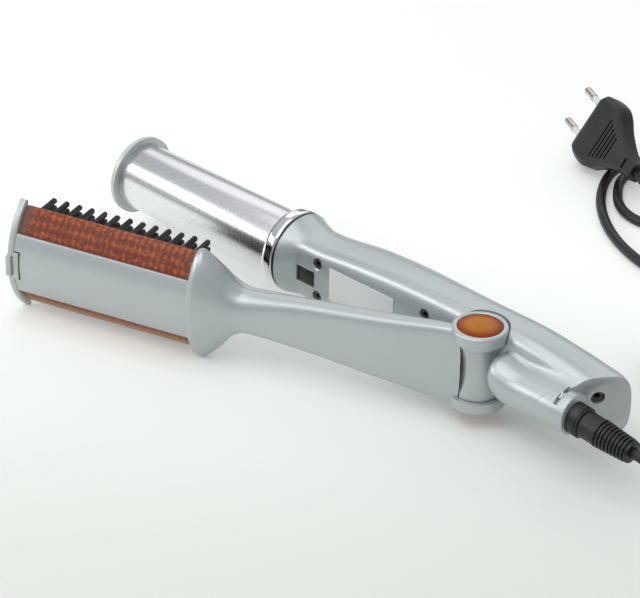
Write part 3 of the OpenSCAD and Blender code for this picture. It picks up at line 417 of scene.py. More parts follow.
def curve(table, x):
    """Smooth curve through chosen (x, value) pairs, by cubic pieces."""
    last = len(table) - 1
    k = 0
    while k < last - 1 and x >= table[k + 1][0]:
        k += 1

    def rise(i):
        return (table[i + 1][1] - table[i][1]) / (table[i + 1][0] - table[i][0])

    def slope(i):
        if i <= 0:
            return rise(0)
        if i >= last:
            return rise(last - 1)
        return 0 if rise(i - 1) * rise(i) <= 0 else (rise(i - 1) + rise(i)) / 2

    h = table[k + 1][0] - table[k][0]
    s = min(max((x - table[k][0]) / h, 0), 1)
    return ((2 * s ** 3 - 3 * s ** 2 + 1) * table[k][1] + (s ** 3 - 2 * s ** 2 + s) * h * slope(k)
            + (3 * s ** 2 - 2 * s ** 3) * table[k + 1][1] + (s ** 3 - s ** 2) * h * slope(k + 1))


def between(a, b, step):
    """Even places from a to b, no further apart than a step."""
    count = max(1, math.ceil(abs(b - a) / step))
    return [a + (b - a) * k / count for k in range(count + 1)]


def plug_ring(u):
    """Section of the plug's body: a box with chamfered and eased corners."""
    half, thick = curve(plug_half, u), curve(plug_thick, u)
    corner = min(curve(plug_chamfer, u), thick * 0.55)
    outline = [(half, thick - corner), (half - corner, thick), (corner - half, thick),
               (-half, thick - corner), (-half, corner - thick), (corner - half, -thick),
               (half - corner, -thick), (half, corner - thick)]
    return [(u, *p) for p in eased(outline, 0.7)]


def copies(made, points, shape, **more):
    """Copies of a shape on points, turned or scaled by further inputs."""
    return made.add("GeometryNodeInstanceOnPoints", {"Points": points, "Instance": shape, **more}).outputs[0]


def finished(made, pieces, material):
    """The copies made real, with their material."""
    real = made.add("GeometryNodeRealizeInstances", {0: pieces}).outputs[0]
    return made.add("GeometryNodeSetMaterial", {"Geometry": real, "Material": material}).outputs[0]


def groove_group():
    """Bars for the grooves of the grip: evenly spaced, each one shorter than the last."""
    made, given, out = new_group("grip_grooves", "GeometryNodeTree", {
        "Count": 5, "Pitch": 2.5, "Length": 22.0, "Shortening": 2.4, "Width": 1.2, "Height": 3.0,
        "Material": "Material"}, {"Bars": "Geometry"})
    step = made.vector(given["Pitch"])
    line = made.add("GeometryNodeMeshLine", {"Count": given["Count"], "Offset": step}).outputs[0]
    size = made.vector(given["Width"], 1, given["Height"])
    bar = made.add("GeometryNodeMeshCube", {"Size": size}).outputs["Mesh"]
    index = made.add("GeometryNodeInputIndex").outputs[0]
    length = made.reckon("SUBTRACT", given["Length"], made.reckon("MULTIPLY", index, given["Shortening"]))
    bars = copies(made, line, bar, Scale=made.vector(1, length, 1))
    made.feed(out, {"Bars": finished(made, bars, given["Material"])})
    return made.tree


def grown(name, tree, place, values, points=()):
    """The geometry of a node tree, on points if it takes them, as a plain mesh in a place of the tool."""
    mesh = bpy.data.meshes.new(name)
    mesh.from_pydata(points, [], [])
    obj = in_scene(name, mesh)
    grower = obj.modifiers.new("grow", "NODES")
    grower.node_group = tree
    for item in tree.interface.items_tree:
        if item.in_out == "INPUT" and item.name in values:
            grower[item.identifier] = values[item.name]
    settle(obj)
    obj.data.transform(Matrix.Scale(mm, 4) @ place)
    return obj


def merged(first, *others):
    """The first object with the others' meshes added to its own, faces outwards."""
    bm = bmesh.new()
    for obj in (first, *others):
        bm.from_mesh(obj.data)
    for obj in others:
        bpy.data.objects.remove(obj)
    bmesh.ops.recalc_face_normals(bm, faces=bm.faces)
    bm.to_mesh(first.data)
    bm.free()
    return first


plug_places = between(-plug_back, -0.9, 1.2) + [-0.45, -0.15, 0]
plug_body = loft("plug_rubber", [plug_ring(u) for u in plug_places], plug_place)
plug_black = finish_of("plug_black", (0.011, 0.012, 0.013), 0.46, cloud=(70, 0.25), grain=(1800, 0.25),
                       depth=0.04)
grip_grooves = groove_group()
for side in (1, -1):
    grip_place = plug_place @ at(-18.4, 0, side * 7.1) @ rotation(side * -5, "Y") @ rotation(180, "Z")
    cut(plug_body, grown("grooves", grip_grooves, grip_place, {"Width": 0.9, "Material": plug_black}))
cut(plug_body, block("slot", (-42.6, -2.7, -6.8), (-40.8, 2.7, -3.8), plug_place))
show(plug_body, plug_black, "handle", "rubber", "plug_body")
pin_places = [plug_place @ at(0, side * pin_pitch / 2, 0) @ rotation(90, "Y") for side in (-1, 1)]
pin_tip = [(pin_r - 0.9 * math.sin(t) ** 2, pin_reach - 1 + math.sin(t)) for t in
           (math.pi / 2 * k / 6 for k in range(1, 7))]
pin_outline = [(0, -pin_depth), (pin_core_r, -pin_depth), (pin_core_r, sleeve_end + 0.1),
               (pin_r, sleeve_end + 0.1), (pin_r, pin_reach - 1), *pin_tip, (0, pin_reach)]
sleeve_outline = eased([(pin_core_r + 0.02, 0.02), (pin_r - 0.25, 0.02), (pin_r - 0.25, sleeve_end),
                        (pin_core_r + 0.02, sleeve_end)], 0.12)
nickel = finish_of("nickel", (0.60, 0.59, 0.56), 0.24, cloud=(200, 0.1), grain=(2500, 0.1), depth=0.01,
                   Metallic=1)
sleeve_white = finish_of("sleeve_white", (0.78, 0.78, 0.76), 0.45, grain=(2000, 0.05), Subsurface_Weight=0.2,
                         Subsurface_Scale=0.002)
plug_pins = merged(*[turned("plug_pin_pair", pin_outline, place, 48) for place in pin_places])
show(plug_pins, nickel, "handle", "nickel", "plug_pins")
plug_sleeves = merged(*[turned("plug_sleeve_pair", sleeve_outline, place, 48) for place in pin_places])
show(plug_sleeves, sleeve_white, "handle", "white_plastic", "plug_sleeves")

# Cord tie: a black plastic strap round the coil, closed flat on top.
# It is one moulded strip, bent to a rounded frame and clipped.
tie_width = 6
tie_t = 0.8
tie_from = coil_out - coil_pitch * (coil_turns + 0.5) - 4
tie_to = tie_from + coil_pitch * (coil_turns + 0.5) + 8.6
tie_top = table_z + cord_d + coil_rise + 2
tie_place = Matrix.Translation(coil_middle) @ rotation(200, "Z")
tie_strap = block("cord_strap", (tie_from, -tie_width / 2, table_z), (tie_to, tie_width / 2, tie_top),
                  tie_place, 0.5)
cut(tie_strap, block("inside", (tie_from + tie_t, -5, table_z + tie_t), (tie_to - tie_t, 5, tie_top - tie_t),
                     tie_place))
black_plastic = finish_of("black_plastic", (0.010, 0.010, 0.011), 0.36, cloud=(80, 0.2), grain=(1600, 0.2))
show(tie_strap, black_plastic, "handle", "black_plastic", "cord_tie")
show(mains_cord, cord_black, "handle", "rubber", "cord_lead", "cord_coil", "cord_tail")

# Handle: two injection moulded halves in silver lacquered plastic, screwed together from the front.
# The front half holds the hinge knuckle and the tube that the cord swivels in; the tail is cut off
# at a slant. The parting line runs along the top and the bottom as a fine groove.
middle = 19.4
barrel_y = 15.4
handle_len = 121.8
tail_len = 70
wall = 1.8
face_y = 1.75
hinge_half = 19.4
neck_half = 15.6
ring_r = 19.3
tool_place = at(0, 0, middle)
half_height = [(-handle_len, ring_r), (-handle_len + 4, ring_r - 1.6), (-handle_len + 12, neck_half + 0.1),
               (-handle_len + 19, neck_half), (-0.65 * handle_len, hinge_half - 1.9),
               (-0.4 * handle_len, hinge_half - 0.1), (0, hinge_half + 0.2), (20, hinge_half),
               (40, hinge_half - 2.4), (tail_len - 15, hinge_half - 4.7), (tail_len - 5, hinge_half - 5.3),
               (tail_len - 2, hinge_half - 6.2), (tail_len, hinge_half - 7.9)]
back_depth = [(-handle_len, ring_r), (-handle_len + 4, ring_r - 2.4), (-handle_len + 12, 13.9),
              (-handle_len + 19, 13.6), (-90, 15.6), (-75, 17.3), (-49, 16.2), (-22, 13.8), (10, 12.6),
              (32, 12.2), (tail_len - 15, 11.6), (tail_len - 9, 10.2), (tail_len - 5, 8.2),
              (tail_len - 2, 5.9), (tail_len, 3)]
front_depth = [(-handle_len, ring_r), (-handle_len + 4, barrel_y - face_y + 3),
               (-handle_len + 10, barrel_y - face_y + 0.2), (-handle_len + 16, barrel_y - face_y),
               (tail_len, barrel_y - face_y)]
front_square = [(-handle_len, 2), (-handle_len + 6, 2.8), (-handle_len + 16, 4), (tail_len, 4)]
back_square = [(-handle_len, 2), (-handle_len + 12, 2.3), (tail_len, 2.3)]
tube_y = -2.4
tube_r = 9.5
mouth_x = 56.6
tail_turn = math.radians(39.3)
tail_cut = (mouth_x, 7, 0)
# The tube's rounded root: place along the handle, height, half depth, half height
root = [(12.2, 4.2, 1.0, 1.0), (12.4, 4.2, 4.4, 4.2), (12.9, 4.1, 6.6, 6.2), (14, 3.6, 8.2, 7.6),
        (15.6, 2.9, 9.2, 8.7), (18, 1.9, 9.6, 9.5), (21, 1, 9.7, 9.8), (25, 0.3, 9.6, 9.6),
        (29, 0, tube_r, tube_r), (tail_len, 0, tube_r, tube_r)]
root_height, root_depth, root_half = ([(r[0], r[k]) for r in root] for k in (1, 2, 3))
blend_width = [(12.2, 1.2), (20, 3.4), (40, 5), (tail_len, 5)]
seam = 0.13


def handle_section(x, back, inset=0.0):
    """Half of the handle's section at x, read outwards from the barrel's axis from top to bottom."""
    deep = max(curve(back_depth if back else front_depth, x) - inset, 0.6)
    high = max(curve(half_height, x) - inset, 0.6)
    square = curve(back_square if back else front_square, x)
    way = 1 if back else -1
    tube = not back and root[0][0] < x and inset == 0
    if tube:
        centre, half_d, half_h = (curve(t, x) for t in (root_height, root_depth, root_half))
        blend = curve(blend_width, x)

    def outside(r, c, s):
        across = (abs(r * c) / deep) ** square + (abs(r * s) / high) ** square
        shell = across ** (1 / square) * min(deep, high)
        shell -= min(deep, high)
        if not tube:
            return shell
        y, z = barrel_y - r * c - tube_y, r * s - centre
        pipe = ((abs(y) / half_d) ** 2.1 + (abs(z) / half_h) ** 2.1) ** (1 / 2.1) * half_h - half_h
        h = max(blend - abs(shell - pipe), 0) / blend
        return min(shell, pipe) - h * h * blend / 4

    def edge(angle):
        c, s = math.cos(angle), math.sin(angle)
        low, far = 0.3, 45.0
        for _ in range(26):
            mid = (low + far) / 2
            low, far = (mid, far) if outside(mid, c, s) < 0 else (low, mid)
        return (x, barrel_y + way * max(low * c, 0.0), low * s)

    start = 0 if inset else 1.6 * seam / high
    points = [edge(math.pi / 2 - start - (math.pi - 2 * start) * k / section_steps)
              for k in range(section_steps + 1)]
    if inset:
        return points
    top, bottom = edge(math.pi / 2)[2], edge(-math.pi / 2)[2]
    lip = [(x, barrel_y + way * seam * 0.1, top - seam), (x, barrel_y + way * seam, top - 0.02)]
    end = [(x, barrel_y + way * seam, bottom + 0.02), (x, barrel_y + way * seam * 0.1, bottom + seam)]
    return lip + points + end


section_steps = 144
x_place = rotation(90, "Y")
dish_r = 34
dish_depth = 1.6
dish_reach = 0.36
dish_steps = 14
stations = sorted(set(between(-handle_len + 0.6, -handle_len + 24, 0.9) + between(-handle_len + 24, 11.6, 2.2)
                      + between(12, 22, 0.5) + between(22, 58, 1.6) + between(58, tail_len, 0.6)))


def handle_half(name, back):
    """One half of the clamshell, cut off at the slant, with the dish in its tail and its hollows."""
    rings = [handle_section(x, back) for x in stations]
    first = [(-handle_len, barrel_y + (y - barrel_y) * 0.985, z * 0.985) for x, y, z in rings[0]]
    half = loft(name, [first] + rings, tool_place)
    bm = bmesh.new()
    bm.from_mesh(half.data)
    slant = Vector((math.cos(tail_turn), -math.sin(tail_turn), 0))
    sliced = bmesh.ops.bisect_plane(bm, geom=bm.verts[:] + bm.edges[:] + bm.faces[:], dist=1e-7,
                                    plane_co=Vector(tail_cut) * mm, plane_no=slant, clear_outer=True)
    rim = [e for e in sliced["geom_cut"] if isinstance(e, bmesh.types.BMEdge)]
    face = bmesh.ops.contextual_create(bm, geom=rim)["faces"][0]
    bmesh.ops.bevel(bm, geom=face.edges[:], offset=0.9 * mm, segments=4, profile=0.5, affect="EDGES",
                    clamp_overlap=True)
    bmesh.ops.remove_doubles(bm, verts=bm.verts, dist=1e-7)
    bmesh.ops.recalc_face_normals(bm, faces=bm.faces)
    bm.to_mesh(half.data)
    bm.free()
    dish_place = tool_place @ at(*tail_cut) @ Matrix.Rotation(-tail_turn, 4, "Z") @ x_place
    dish = [(0, -dish_depth)]
    for k in range(1, dish_steps + 1):
        a = dish_reach * k / dish_steps
        dish.append((dish_r * math.sin(a), dish_r - dish_depth - dish_r * math.cos(a)))
    dish += [(dish[-1][0], 9), (0, 9)]
    cut(half, turned("dish", dish, dish_place @ at(0, 8, 0), 96))
    hollows = []
    for x0, x1 in ((-handle_len + 1.8, -17), (17, 50)):
        inner = []
        for x in between(x0, x1, 4):
            ring = handle_section(x, back, wall)[4:-4:4]
            side = 1 if back else -1
            inner.append([(x, barrel_y - side, ring[0][2])] + ring + [(x, barrel_y - side, ring[-1][2])])
        hollows.append(loft("hollow", inner, tool_place))
    cut(half, *hollows)
    return half


def rod(name, radius, start, end, place, edge=0, steps=64):
    """A round bar along the place's z axis."""
    return turned(name, eased([(0, start), (radius, start), (radius, end), (0, end)], edge), place, steps)


def join(obj, *tools):
    """The solid grown together with the tools."""
    return work(obj, "UNION", tools)


def along(start, way):
    """A place whose z axis runs from a point along a direction."""
    return Matrix.Translation(start) @ Vector(way).to_track_quat("Z", "Y").to_matrix().to_4x4()


knuckle_r = 10.3
waist_r = 8.7
knuckle_half = 13.5
ear_r = 12.8
screw_places = [(-99, 8.5), (-99, -8.5), (-34, 9.5), (-34, -9.5)]
head_r = 2.4
front = handle_half("front_half", False)
waist = [(waist_r + (knuckle_r - waist_r) * (k / 12 - 1) ** 2, (k / 12 - 1) * (knuckle_half - 2))
         for k in range(25)]
knuckle_outline = [(0, -knuckle_half), (knuckle_r, -knuckle_half), (knuckle_r, -knuckle_half + 1.2), *waist,
                   (knuckle_r, knuckle_half - 1.2), (knuckle_r, knuckle_half), (0, knuckle_half)]
join(front, turned("knuckle", knuckle_outline, tool_place, 128))
tube_place = tool_place @ at(0, tube_y, 0) @ x_place
tube_outline = eased([(0, 34), (tube_r - 0.02, 34), (tube_r - 0.02, mouth_x), (0, mouth_x)], 0.8)
join(front, turned("tube", tube_outline, tube_place, 160))
swivel_place = Matrix.Translation(relief_mouth) @ Matrix.Rotation(math.radians(90) + relief_tilt, 4, "Y")
tail_screw_place = tool_place @ at(59.4, 9.6, 3.5) @ Matrix.Rotation(-tail_turn, 4, "Z") @ x_place
tail_seat = [(0, -11.2), (1.45, -11.2), (1.45, -5), (3.2, -5), (3.2, -0.7), (3.7, -0.2), (4.4, 0.6), (4.4, 7),
             (0, 7)]
cut(front, *[turned("ear_space", [(0, s * knuckle_half), (ear_r + 0.4, s * knuckle_half),
                                  (ear_r + 0.4, s * 25), (0, s * 25)], tool_place, 160) for s in (1, -1)])
hinge_pin_r = 3
cut(front, rod("pin_bore", hinge_pin_r + 0.06, -30, 30, tool_place), rod("spring_bore", 5.2, -6, 6, tool_place),
    rod("collar_bore", 7.26, -11, 6, swivel_place, steps=96), rod("neck_bore", 4.56, -15, -10, swivel_place),
    rod("flange_bore", 6.6, -30, -14, swivel_place), turned("tail_seat", tail_seat, tail_screw_place, 64))
for x, z in screw_places:
    seat = [(0, -3), (head_r + 1.2, -3), (head_r + 1.0, -0.1), (head_r + 0.3, 0.45), (head_r + 0.3, 2.4),
            (1.45, 2.4), (1.45, 16), (0, 16)]
    cut(front, turned("screw_seat", seat, tool_place @ along((x, face_y, z), (0, 1, 0)), 48))
switch_x = -106
switch_z = -0.5
switch_len = 11
switch_high = 8
cut(front, block("switch_slot", (switch_x - switch_len / 2, face_y - 4, switch_z - switch_high / 2),
                 (switch_x + switch_len / 2, face_y + 3, switch_z + switch_high / 2), tool_place))
slider_x = 51
slot_w = 2.2


def tube_arc(inner, outer, first, last, half_width, x):
    """Outline along x of an arc round the tube, its angles measured from the front upwards."""
    angles = [math.radians(a) for a in between(first, last, 4)]
    ring = [(tube_y - outer * math.cos(a), outer * math.sin(a)) for a in angles]
    ring += [(tube_y - inner * math.cos(a), inner * math.sin(a)) for a in reversed(angles)]
    return [[(x + s * half_width, *p) for p in ring] for s in (-1, 1)]


cut(front, loft("heat_slot", tube_arc(tube_r - 1.9, tube_r + 1, 40, 106, slot_w / 2, slider_x), tool_place))
silver = finish_of("silver_lacquer", (0.50, 0.535, 0.545), 0.37, cloud=(45, 0.05), grain=(3200, 0.14),
                   scuff=0.03, depth=0.012, Metallic=0.55, Coat_Weight=0.2, Coat_Roughness=0.35)
show(front, silver, "handle", "silver_plastic", "front_housing", crease=26)

rear = handle_half("rear_half", True)
cut(rear, turned("tail_seat", tail_seat, tail_screw_place, 64))
show(rear, silver, "handle", "silver_plastic", "rear_housing", crease=26)

# Housing and arm screws: small zinc plated pan heads with a cross recess.
# Four hold the handle's halves together, two hold the arm's inner cover, one closes the tail.


def screw_group():
    """Screw heads with their shanks at the points of a mesh, with a cross cut in each."""
    made, given, out = new_group("cross_screws", "GeometryNodeTree", {
        "Places": "Geometry", "Head Radius": head_r, "Head Height": 1.4, "Shank Radius": 1.2,
        "Shank Length": 7.0, "Cross Length": 3.0, "Cross Width": 0.6, "Material": "Material"
    }, {"Screws": "Geometry"})
    cross_depth = 1.6

    def bar(radius, length, sides):
        size = {"Vertices": sides, "Radius": given[radius], "Depth": given[length]}
        shape = made.add("GeometryNodeMeshCylinder", size).outputs["Mesh"]
        lift = made.vector(0, 0, made.reckon("MULTIPLY", given[length], 0.5))
        return made.add("GeometryNodeTransform", {"Geometry": shape, "Translation": lift}).outputs[0]

    both = made.add("GeometryNodeMeshBoolean", operation="UNION")
    made.feed(both, {"Mesh 2": bar("Head Radius", "Head Height", 32)})
    made.feed(both, {"Mesh 2": bar("Shank Radius", "Shank Length", 20)})
    crossed = made.add("GeometryNodeMeshBoolean", {"Mesh 1": both.outputs["Mesh"]}, operation="DIFFERENCE")
    for x, y in (("Cross Length", "Cross Width"), ("Cross Width", "Cross Length")):
        size = made.vector(given[x], given[y], cross_depth)
        made.feed(crossed, {"Mesh 2": made.add("GeometryNodeMeshCube", {"Size": size}).outputs["Mesh"]})
    placed = copies(made, given["Places"], crossed.outputs["Mesh"])
    made.feed(out, {"Screws": finished(made, placed, given["Material"])})
    return made.tree


cross_screws = screw_group()
steel = finish_of("zinc_steel", (0.13, 0.13, 0.135), 0.38, cloud=(300, 0.2), grain=(2500, 0.2), Metallic=1)
face_place = tool_place @ along((0, face_y + 1, 0), (0, 1, 0))
flat = face_place.inverted() @ tool_place
housing_points = [tuple(flat @ Vector((x, face_y + 1, z))) for x, z in screw_places]
housing_screws = grown("housing_screw_set", cross_screws, face_place,
                       {"Shank Length": 17.6, "Material": steel}, housing_points)
show(housing_screws, steel, "handle", "steel", "housing_screws")
tail_head_place = tail_screw_place @ at(0, 0, -3.4) @ rotation(180, "X")
tail_screw = grown("tail_screw_one", cross_screws, tail_head_place, {
    "Head Radius": 3.0, "Head Height": 1.6, "Shank Radius": 1.4, "Shank Length": 7.5, "Cross Length": 3.6,
    "Cross Width": 0.7, "Material": steel}, [(0, 0, 0)])
show(tail_screw, steel, "handle", "steel", "tail_screw")

# Heat slider: a small moulded tongue in silver plastic that sets the heat. It slides in a curved slot
# round the cord's tube, with a fine rib across it for the thumb.
slider = loft("heat_tongue", tube_arc(tube_r - 1.25, tube_r - 0.55, 62, 84, slot_w / 2 - 0.15, slider_x),
              tool_place)
knob_angle = 73
knob_lean = 38
knob_place = tube_place @ at(0, 0, slider_x) @ rotation(180 - knob_angle, "Z") @ rotation(knob_lean, "Y")
join(slider, block("knob", (-1.9, tube_r - 1.2, -0.5), (1.9, tube_r + 0.6, 0.5), knob_place, 0.2))
slider_grey = finish_of("slider_grey", (0.62, 0.65, 0.68), 0.3, Metallic=0.4)
show(slider, slider_grey, "slider", "silver_plastic", "heat_slider")

# Rating label: a pale foil sticker of 39 by 17 mm, stuck on the flat inner face between the screws.
# It is left bare.
label_t = 0.28
label = block("bare_label", (-91, face_y - label_t, -7), (-52, face_y, 10), tool_place, 0.12)
label_foil = finish_of("label_foil", (0.84, 0.86, 0.86), 0.5, cloud=(30, 0.05), grain=(1200, 0.05),
                       Metallic=0.2)
show(label, label_foil, "handle", "white_plastic", "label_plate")

# Switch plunger: a black moulded button behind the slot by the barrel. The closing arm presses it in,
# against the small switch that starts the motor.
plunger_gap = 0.3
plunger_half = (switch_len / 2 - plunger_gap, switch_high / 2 - plunger_gap)
plunger = block("plunger_tip", (switch_x - plunger_half[0], face_y + 0.6, switch_z - plunger_half[1]),
                (switch_x + plunger_half[0], face_y + 2.4, switch_z + plunger_half[1]), tool_place, 0.4)
show(plunger, black_plastic, "plunger", "black_plastic", "switch_plunger")

# Collar and chrome ring: a black plastic collar is clamped between the halves, and a chromed
# plastic trim ring is pushed over it, round the root of the barrel.
barrel_r = 16
barrel_place = at(0, barrel_y, middle) @ rotation(-90, "Y")
chrome_r = 19.5
chrome_len = 6.5
collar_in_r = 17.1
collar_outline = [(barrel_r + 0.4, handle_len - 2), (collar_in_r - 0.15, handle_len - 2),
                  (collar_in_r - 0.15, handle_len + 0.1), (ring_r - 0.35, handle_len + 0.1),
                  (ring_r - 0.35, handle_len + 1), (collar_in_r, handle_len + 1),
                  (collar_in_r, handle_len + chrome_len), (barrel_r + 0.4, handle_len + chrome_len)]
collar = turned("black_collar", collar_outline, barrel_place, 160)
show(collar, black_plastic, "handle", "black_plastic", "barrel_collar")
chrome_end = handle_len + chrome_len + 0.8
ring_outline = [(collar_in_r + 0.05, handle_len + 1), (chrome_r - 0.5, handle_len + 1),
                (chrome_r, handle_len + 2.2), (chrome_r, handle_len + 5.6), (chrome_r - 0.7, chrome_end),
                (collar_in_r + 0.05, chrome_end)]
ring = turned("chrome_trim", eased(ring_outline, 0.5, 4), barrel_place, 192)
chrome = finish_of("chrome", (0.80, 0.80, 0.82), 0.06, cloud=(40, 0.02), grain=(500, 0.02), scuff=0.05,
                   depth=0.002, Metallic=1)
show(ring, chrome, "handle", "chrome", "chrome_ring")

# Barrel: a drawn aluminium tube, 32 mm across, with a fine grain round it, that a motor turns.
# Its outer end is closed by a grey plastic cap with a flange.
barrel_end = 229.5
flange_t = 3
flange_r = 18.9
barrel_wall = 1.4
bush_s = barrel_end - flange_t - 10.5
tube_s = (handle_len + 1.2, barrel_end - flange_t)
barrel_in_r = barrel_r - barrel_wall
barrel_outline = [(barrel_in_r, tube_s[0]), (barrel_r, tube_s[0]), (barrel_r, tube_s[1]),
                  (barrel_in_r, tube_s[1])]
barrel = turned("barrel_sleeve", eased(barrel_outline, 0.3), barrel_place, 192)
barrel_metal = finish_of("barrel_aluminium", (0.78, 0.785, 0.80), 0.26, cloud=(30, 0.03), grain=(1300, 0.13),
                         scuff=0, depth=0.001, stretch=(1.6, 1, 1), Metallic=1)
show(barrel, barrel_metal, "barrel", "barrel_aluminium", "barrel_tube")
end_cap = turned("flanged_end", [(0, bush_s + 1), (barrel_in_r - 0.02, bush_s + 1),
                                 (barrel_in_r - 0.02, tube_s[1])]
                 + eased([(flange_r - 0.1, tube_s[1]), (flange_r, tube_s[1] + 0.2),
                          (flange_r, barrel_end - 0.8), (flange_r - 0.8, barrel_end)], 0.4)
                 + [(12.5, barrel_end), (12.2, barrel_end - 0.5), (11.8, barrel_end - 0.5),
                    (11.5, barrel_end), (0, barrel_end)], barrel_place, 160)
cut(end_cap, rod("bush_bore", 6.06, bush_s, bush_s + 7, barrel_place))
cap_grey = finish_of("cap_grey", (0.60, 0.64, 0.63), 0.42, cloud=(60, 0.06), grain=(2600, 0.1), Metallic=0.35)
show(end_cap, cap_grey, "barrel", "silver_plastic", "barrel_end_cap")

# Arm: a silver lacquered outer shell with two hinge ears, and a silver inner cover screwed to it.
# It widens into a cup that holds the brush; shell and cover meet in a fine dark line.
arm_open = 16.4
arm_place = tool_place @ rotation(180 + arm_open, "Z")
cup_rim = 133
cup_half = 28
arm_neck_half = 9
arm_inner = [(0, 0.5), (43, 0.5), (82, 0.8), (cup_rim - 24, 1.2), (cup_rim - 17, 3), (cup_rim - 11, 5.5),
             (cup_rim - 5, 8.5), (cup_rim - 3, 9.6), (cup_rim, 10.4)]
arm_outer = [(0, 9.6), (6, 9.9), (43, 12.1), (82, 13.4), (cup_rim - 24, 17.2), (cup_rim - 17, 19.6),
             (cup_rim - 11, 22.4), (cup_rim - 5, 25.2), (cup_rim - 3, 25.8), (cup_rim, 25.6)]
arm_spine = [(0, 5), (43, 6.3), (82, 7.1), (cup_rim - 24, 8.6), (cup_rim - 17, 9.8), (cup_rim - 11, 10.9),
             (cup_rim - 5, 11.6), (cup_rim, 12)]
arm_half = [(0, hinge_half - 0.2), (6, hinge_half - 0.2), (43, hinge_half - 3.5), (82, hinge_half - 7.1),
            (cup_rim - 24, arm_neck_half + 1.4), (cup_rim - 17, arm_neck_half + 5),
            (cup_rim - 11, cup_half - 7), (cup_rim - 5, cup_half - 1.3), (cup_rim - 3, cup_half),
            (cup_rim, cup_half - 1)]
outer_square = [(0, 3.6), (82, 3), (cup_rim - 24, 2.3), (cup_rim - 11, 1.8), (cup_rim, 1.6)]
inner_square = [(0, 3.6), (82, 3.6), (cup_rim - 24, 4), (cup_rim, 3.2)]
arm_split = [(0, 2.8), (43, 3.1), (82, 4.6), (cup_rim - 24, 7.8), (cup_rim - 11, 9.9), (cup_rim - 5, 10.6),
             (cup_rim, 11.6)]
cover_from = 20
cover_t = 1.8
guard_r = 31.7
guard_y = 23.3 - guard_r
guard_wall = 1.5
guard_half = 24.5
seat_in = 4


def bulge(value, square):
    """Sine or cosine for a section that is squarer than an ellipse."""
    return math.copysign(abs(value) ** (2 / square), value)


def arm_point(x, angle, inset=0.0):
    """Point of the arm's section: angle 0 is outermost, 90 is the top of its widest line."""
    outward = abs(angle) <= math.pi / 2
    spine, square = curve(arm_spine, x), curve(outer_square if outward else inner_square, x)
    deep = curve(arm_outer, x) - spine if outward else spine - curve(arm_inner, x)
    return (x, spine + (deep - inset) * bulge(math.cos(angle), square),
            (curve(arm_half, x) - inset) * bulge(math.sin(angle), square))


rim_from = cup_rim - 1.1
arm_places = between(0, 96, 3) + between(97, cup_rim - 3, 1) + [cup_rim - 2.4, cup_rim - 1.7, rim_from]
arm_angles = [math.radians(4 * k) for k in range(-44, 46)]
body_rings = [[arm_point(x, a) for a in arm_angles] for x in arm_places]
body_rings += [[arm_point(rim_from + d, a, inset) for a in arm_angles]
               for d, inset in ((0.5, 0.1), (0.9, 0.4), (1.1, 0.8))]
arm_shell = loft("arm_outer_shell", body_rings, arm_place)
ear_from = 13.8
ear_edge = 1.3
ear_outline = [(0, ear_from), (ear_r, ear_from)] + [
    (ear_r - ear_edge * (1 - math.cos(t)), hinge_half - ear_edge + ear_edge * math.sin(t)) for t in
    (math.pi / 2 * k / 6 for k in range(7))] + [(0, hinge_half)]


def flipped(outline):
    """The outline of the same shape at the lower end of the hinge."""
    return [(r, -h) for r, h in outline]


join(arm_shell, turned("upper_ear", ear_outline, arm_place, 160),
     turned("lower_ear", flipped(ear_outline), arm_place, 160))
slab = []
for x in [x for x in arm_places if x >= cover_from] + [cup_rim + 2]:
    split = curve(arm_split, x)
    slab.append([(x, split, 40), (x, split, -40), (x, split - 20, -40), (x, split - 20, 40)])


def shell_hollow(x):
    """Section of the hollow in the arm's shell."""
    high, low = curve(arm_half, x) - wall, curve(arm_split, x) - 3
    deep, square = curve(arm_outer, x) - curve(arm_spine, x) - wall, curve(outer_square, x)
    arc = [(x, curve(arm_spine, x) + deep * bulge(math.cos(a), square), high * bulge(math.sin(a), square))
           for a in (math.radians(-90 + 7.5 * k) for k in range(25))]
    return [(x, low, -high)] + arc + [(x, low, high)]


hollow_places = [x for x in arm_places if cover_from + 5 < x < cup_rim - 7][::2]
hollow_places = [cover_from + 1.8] + hollow_places + [cup_rim - 6.5]
cut(arm_shell, rod("knuckle_space", knuckle_r + 0.5, -ear_from, ear_from, arm_place, steps=128),
    loft("below_split", slab, arm_place), loft("hollow", [shell_hollow(x) for x in hollow_places], arm_place))
cap_r = 10
cap_seat = eased([(0, hinge_half - 1.65), (cap_r + 0.1, hinge_half - 1.65), (cap_r + 0.1, hinge_half - 0.3),
                  (cap_r + 0.5, hinge_half + 0.05), (cap_r + 2, hinge_half + 3), (0, hinge_half + 3)], 0.1)
cut(arm_shell, rod("pin_bore", hinge_pin_r + 0.02, -hinge_half + 1.7, hinge_half - 1.7, arm_place),
    turned("cap_seat", cap_seat, arm_place, 128), turned("cap_seat", flipped(cap_seat), arm_place, 128))


def clipped_arc(radius, half, floor):
    """Outline of a round bar cut flat at a half height and at a floor, across the arm."""
    top = math.asin(half / radius)
    arc = [(guard_y + radius * math.cos(a), radius * math.sin(a)) for a in between(-top, top, 0.02)]
    return [(floor, -half)] + arc + [(floor, half)]


def prism(name, outline, ends, place):
    """A closed solid of one outline across the place's x axis, from end to end."""
    return loft(name, [[(x, *p) for p in outline] for x in ends], place)


seat_from = cup_rim - seat_in - 0.15
cut(arm_shell, prism("brush_seat", clipped_arc(guard_r + 1.2, guard_half + 0.8, -20),
                     (seat_from, cup_rim + 13), arm_place))
show(arm_shell, silver, "arm", "silver_plastic", "arm_shell", crease=26)

cover_gap = 0.3
cover_places = [x for x in arm_places if cover_from <= x < cup_rim - 1.2]


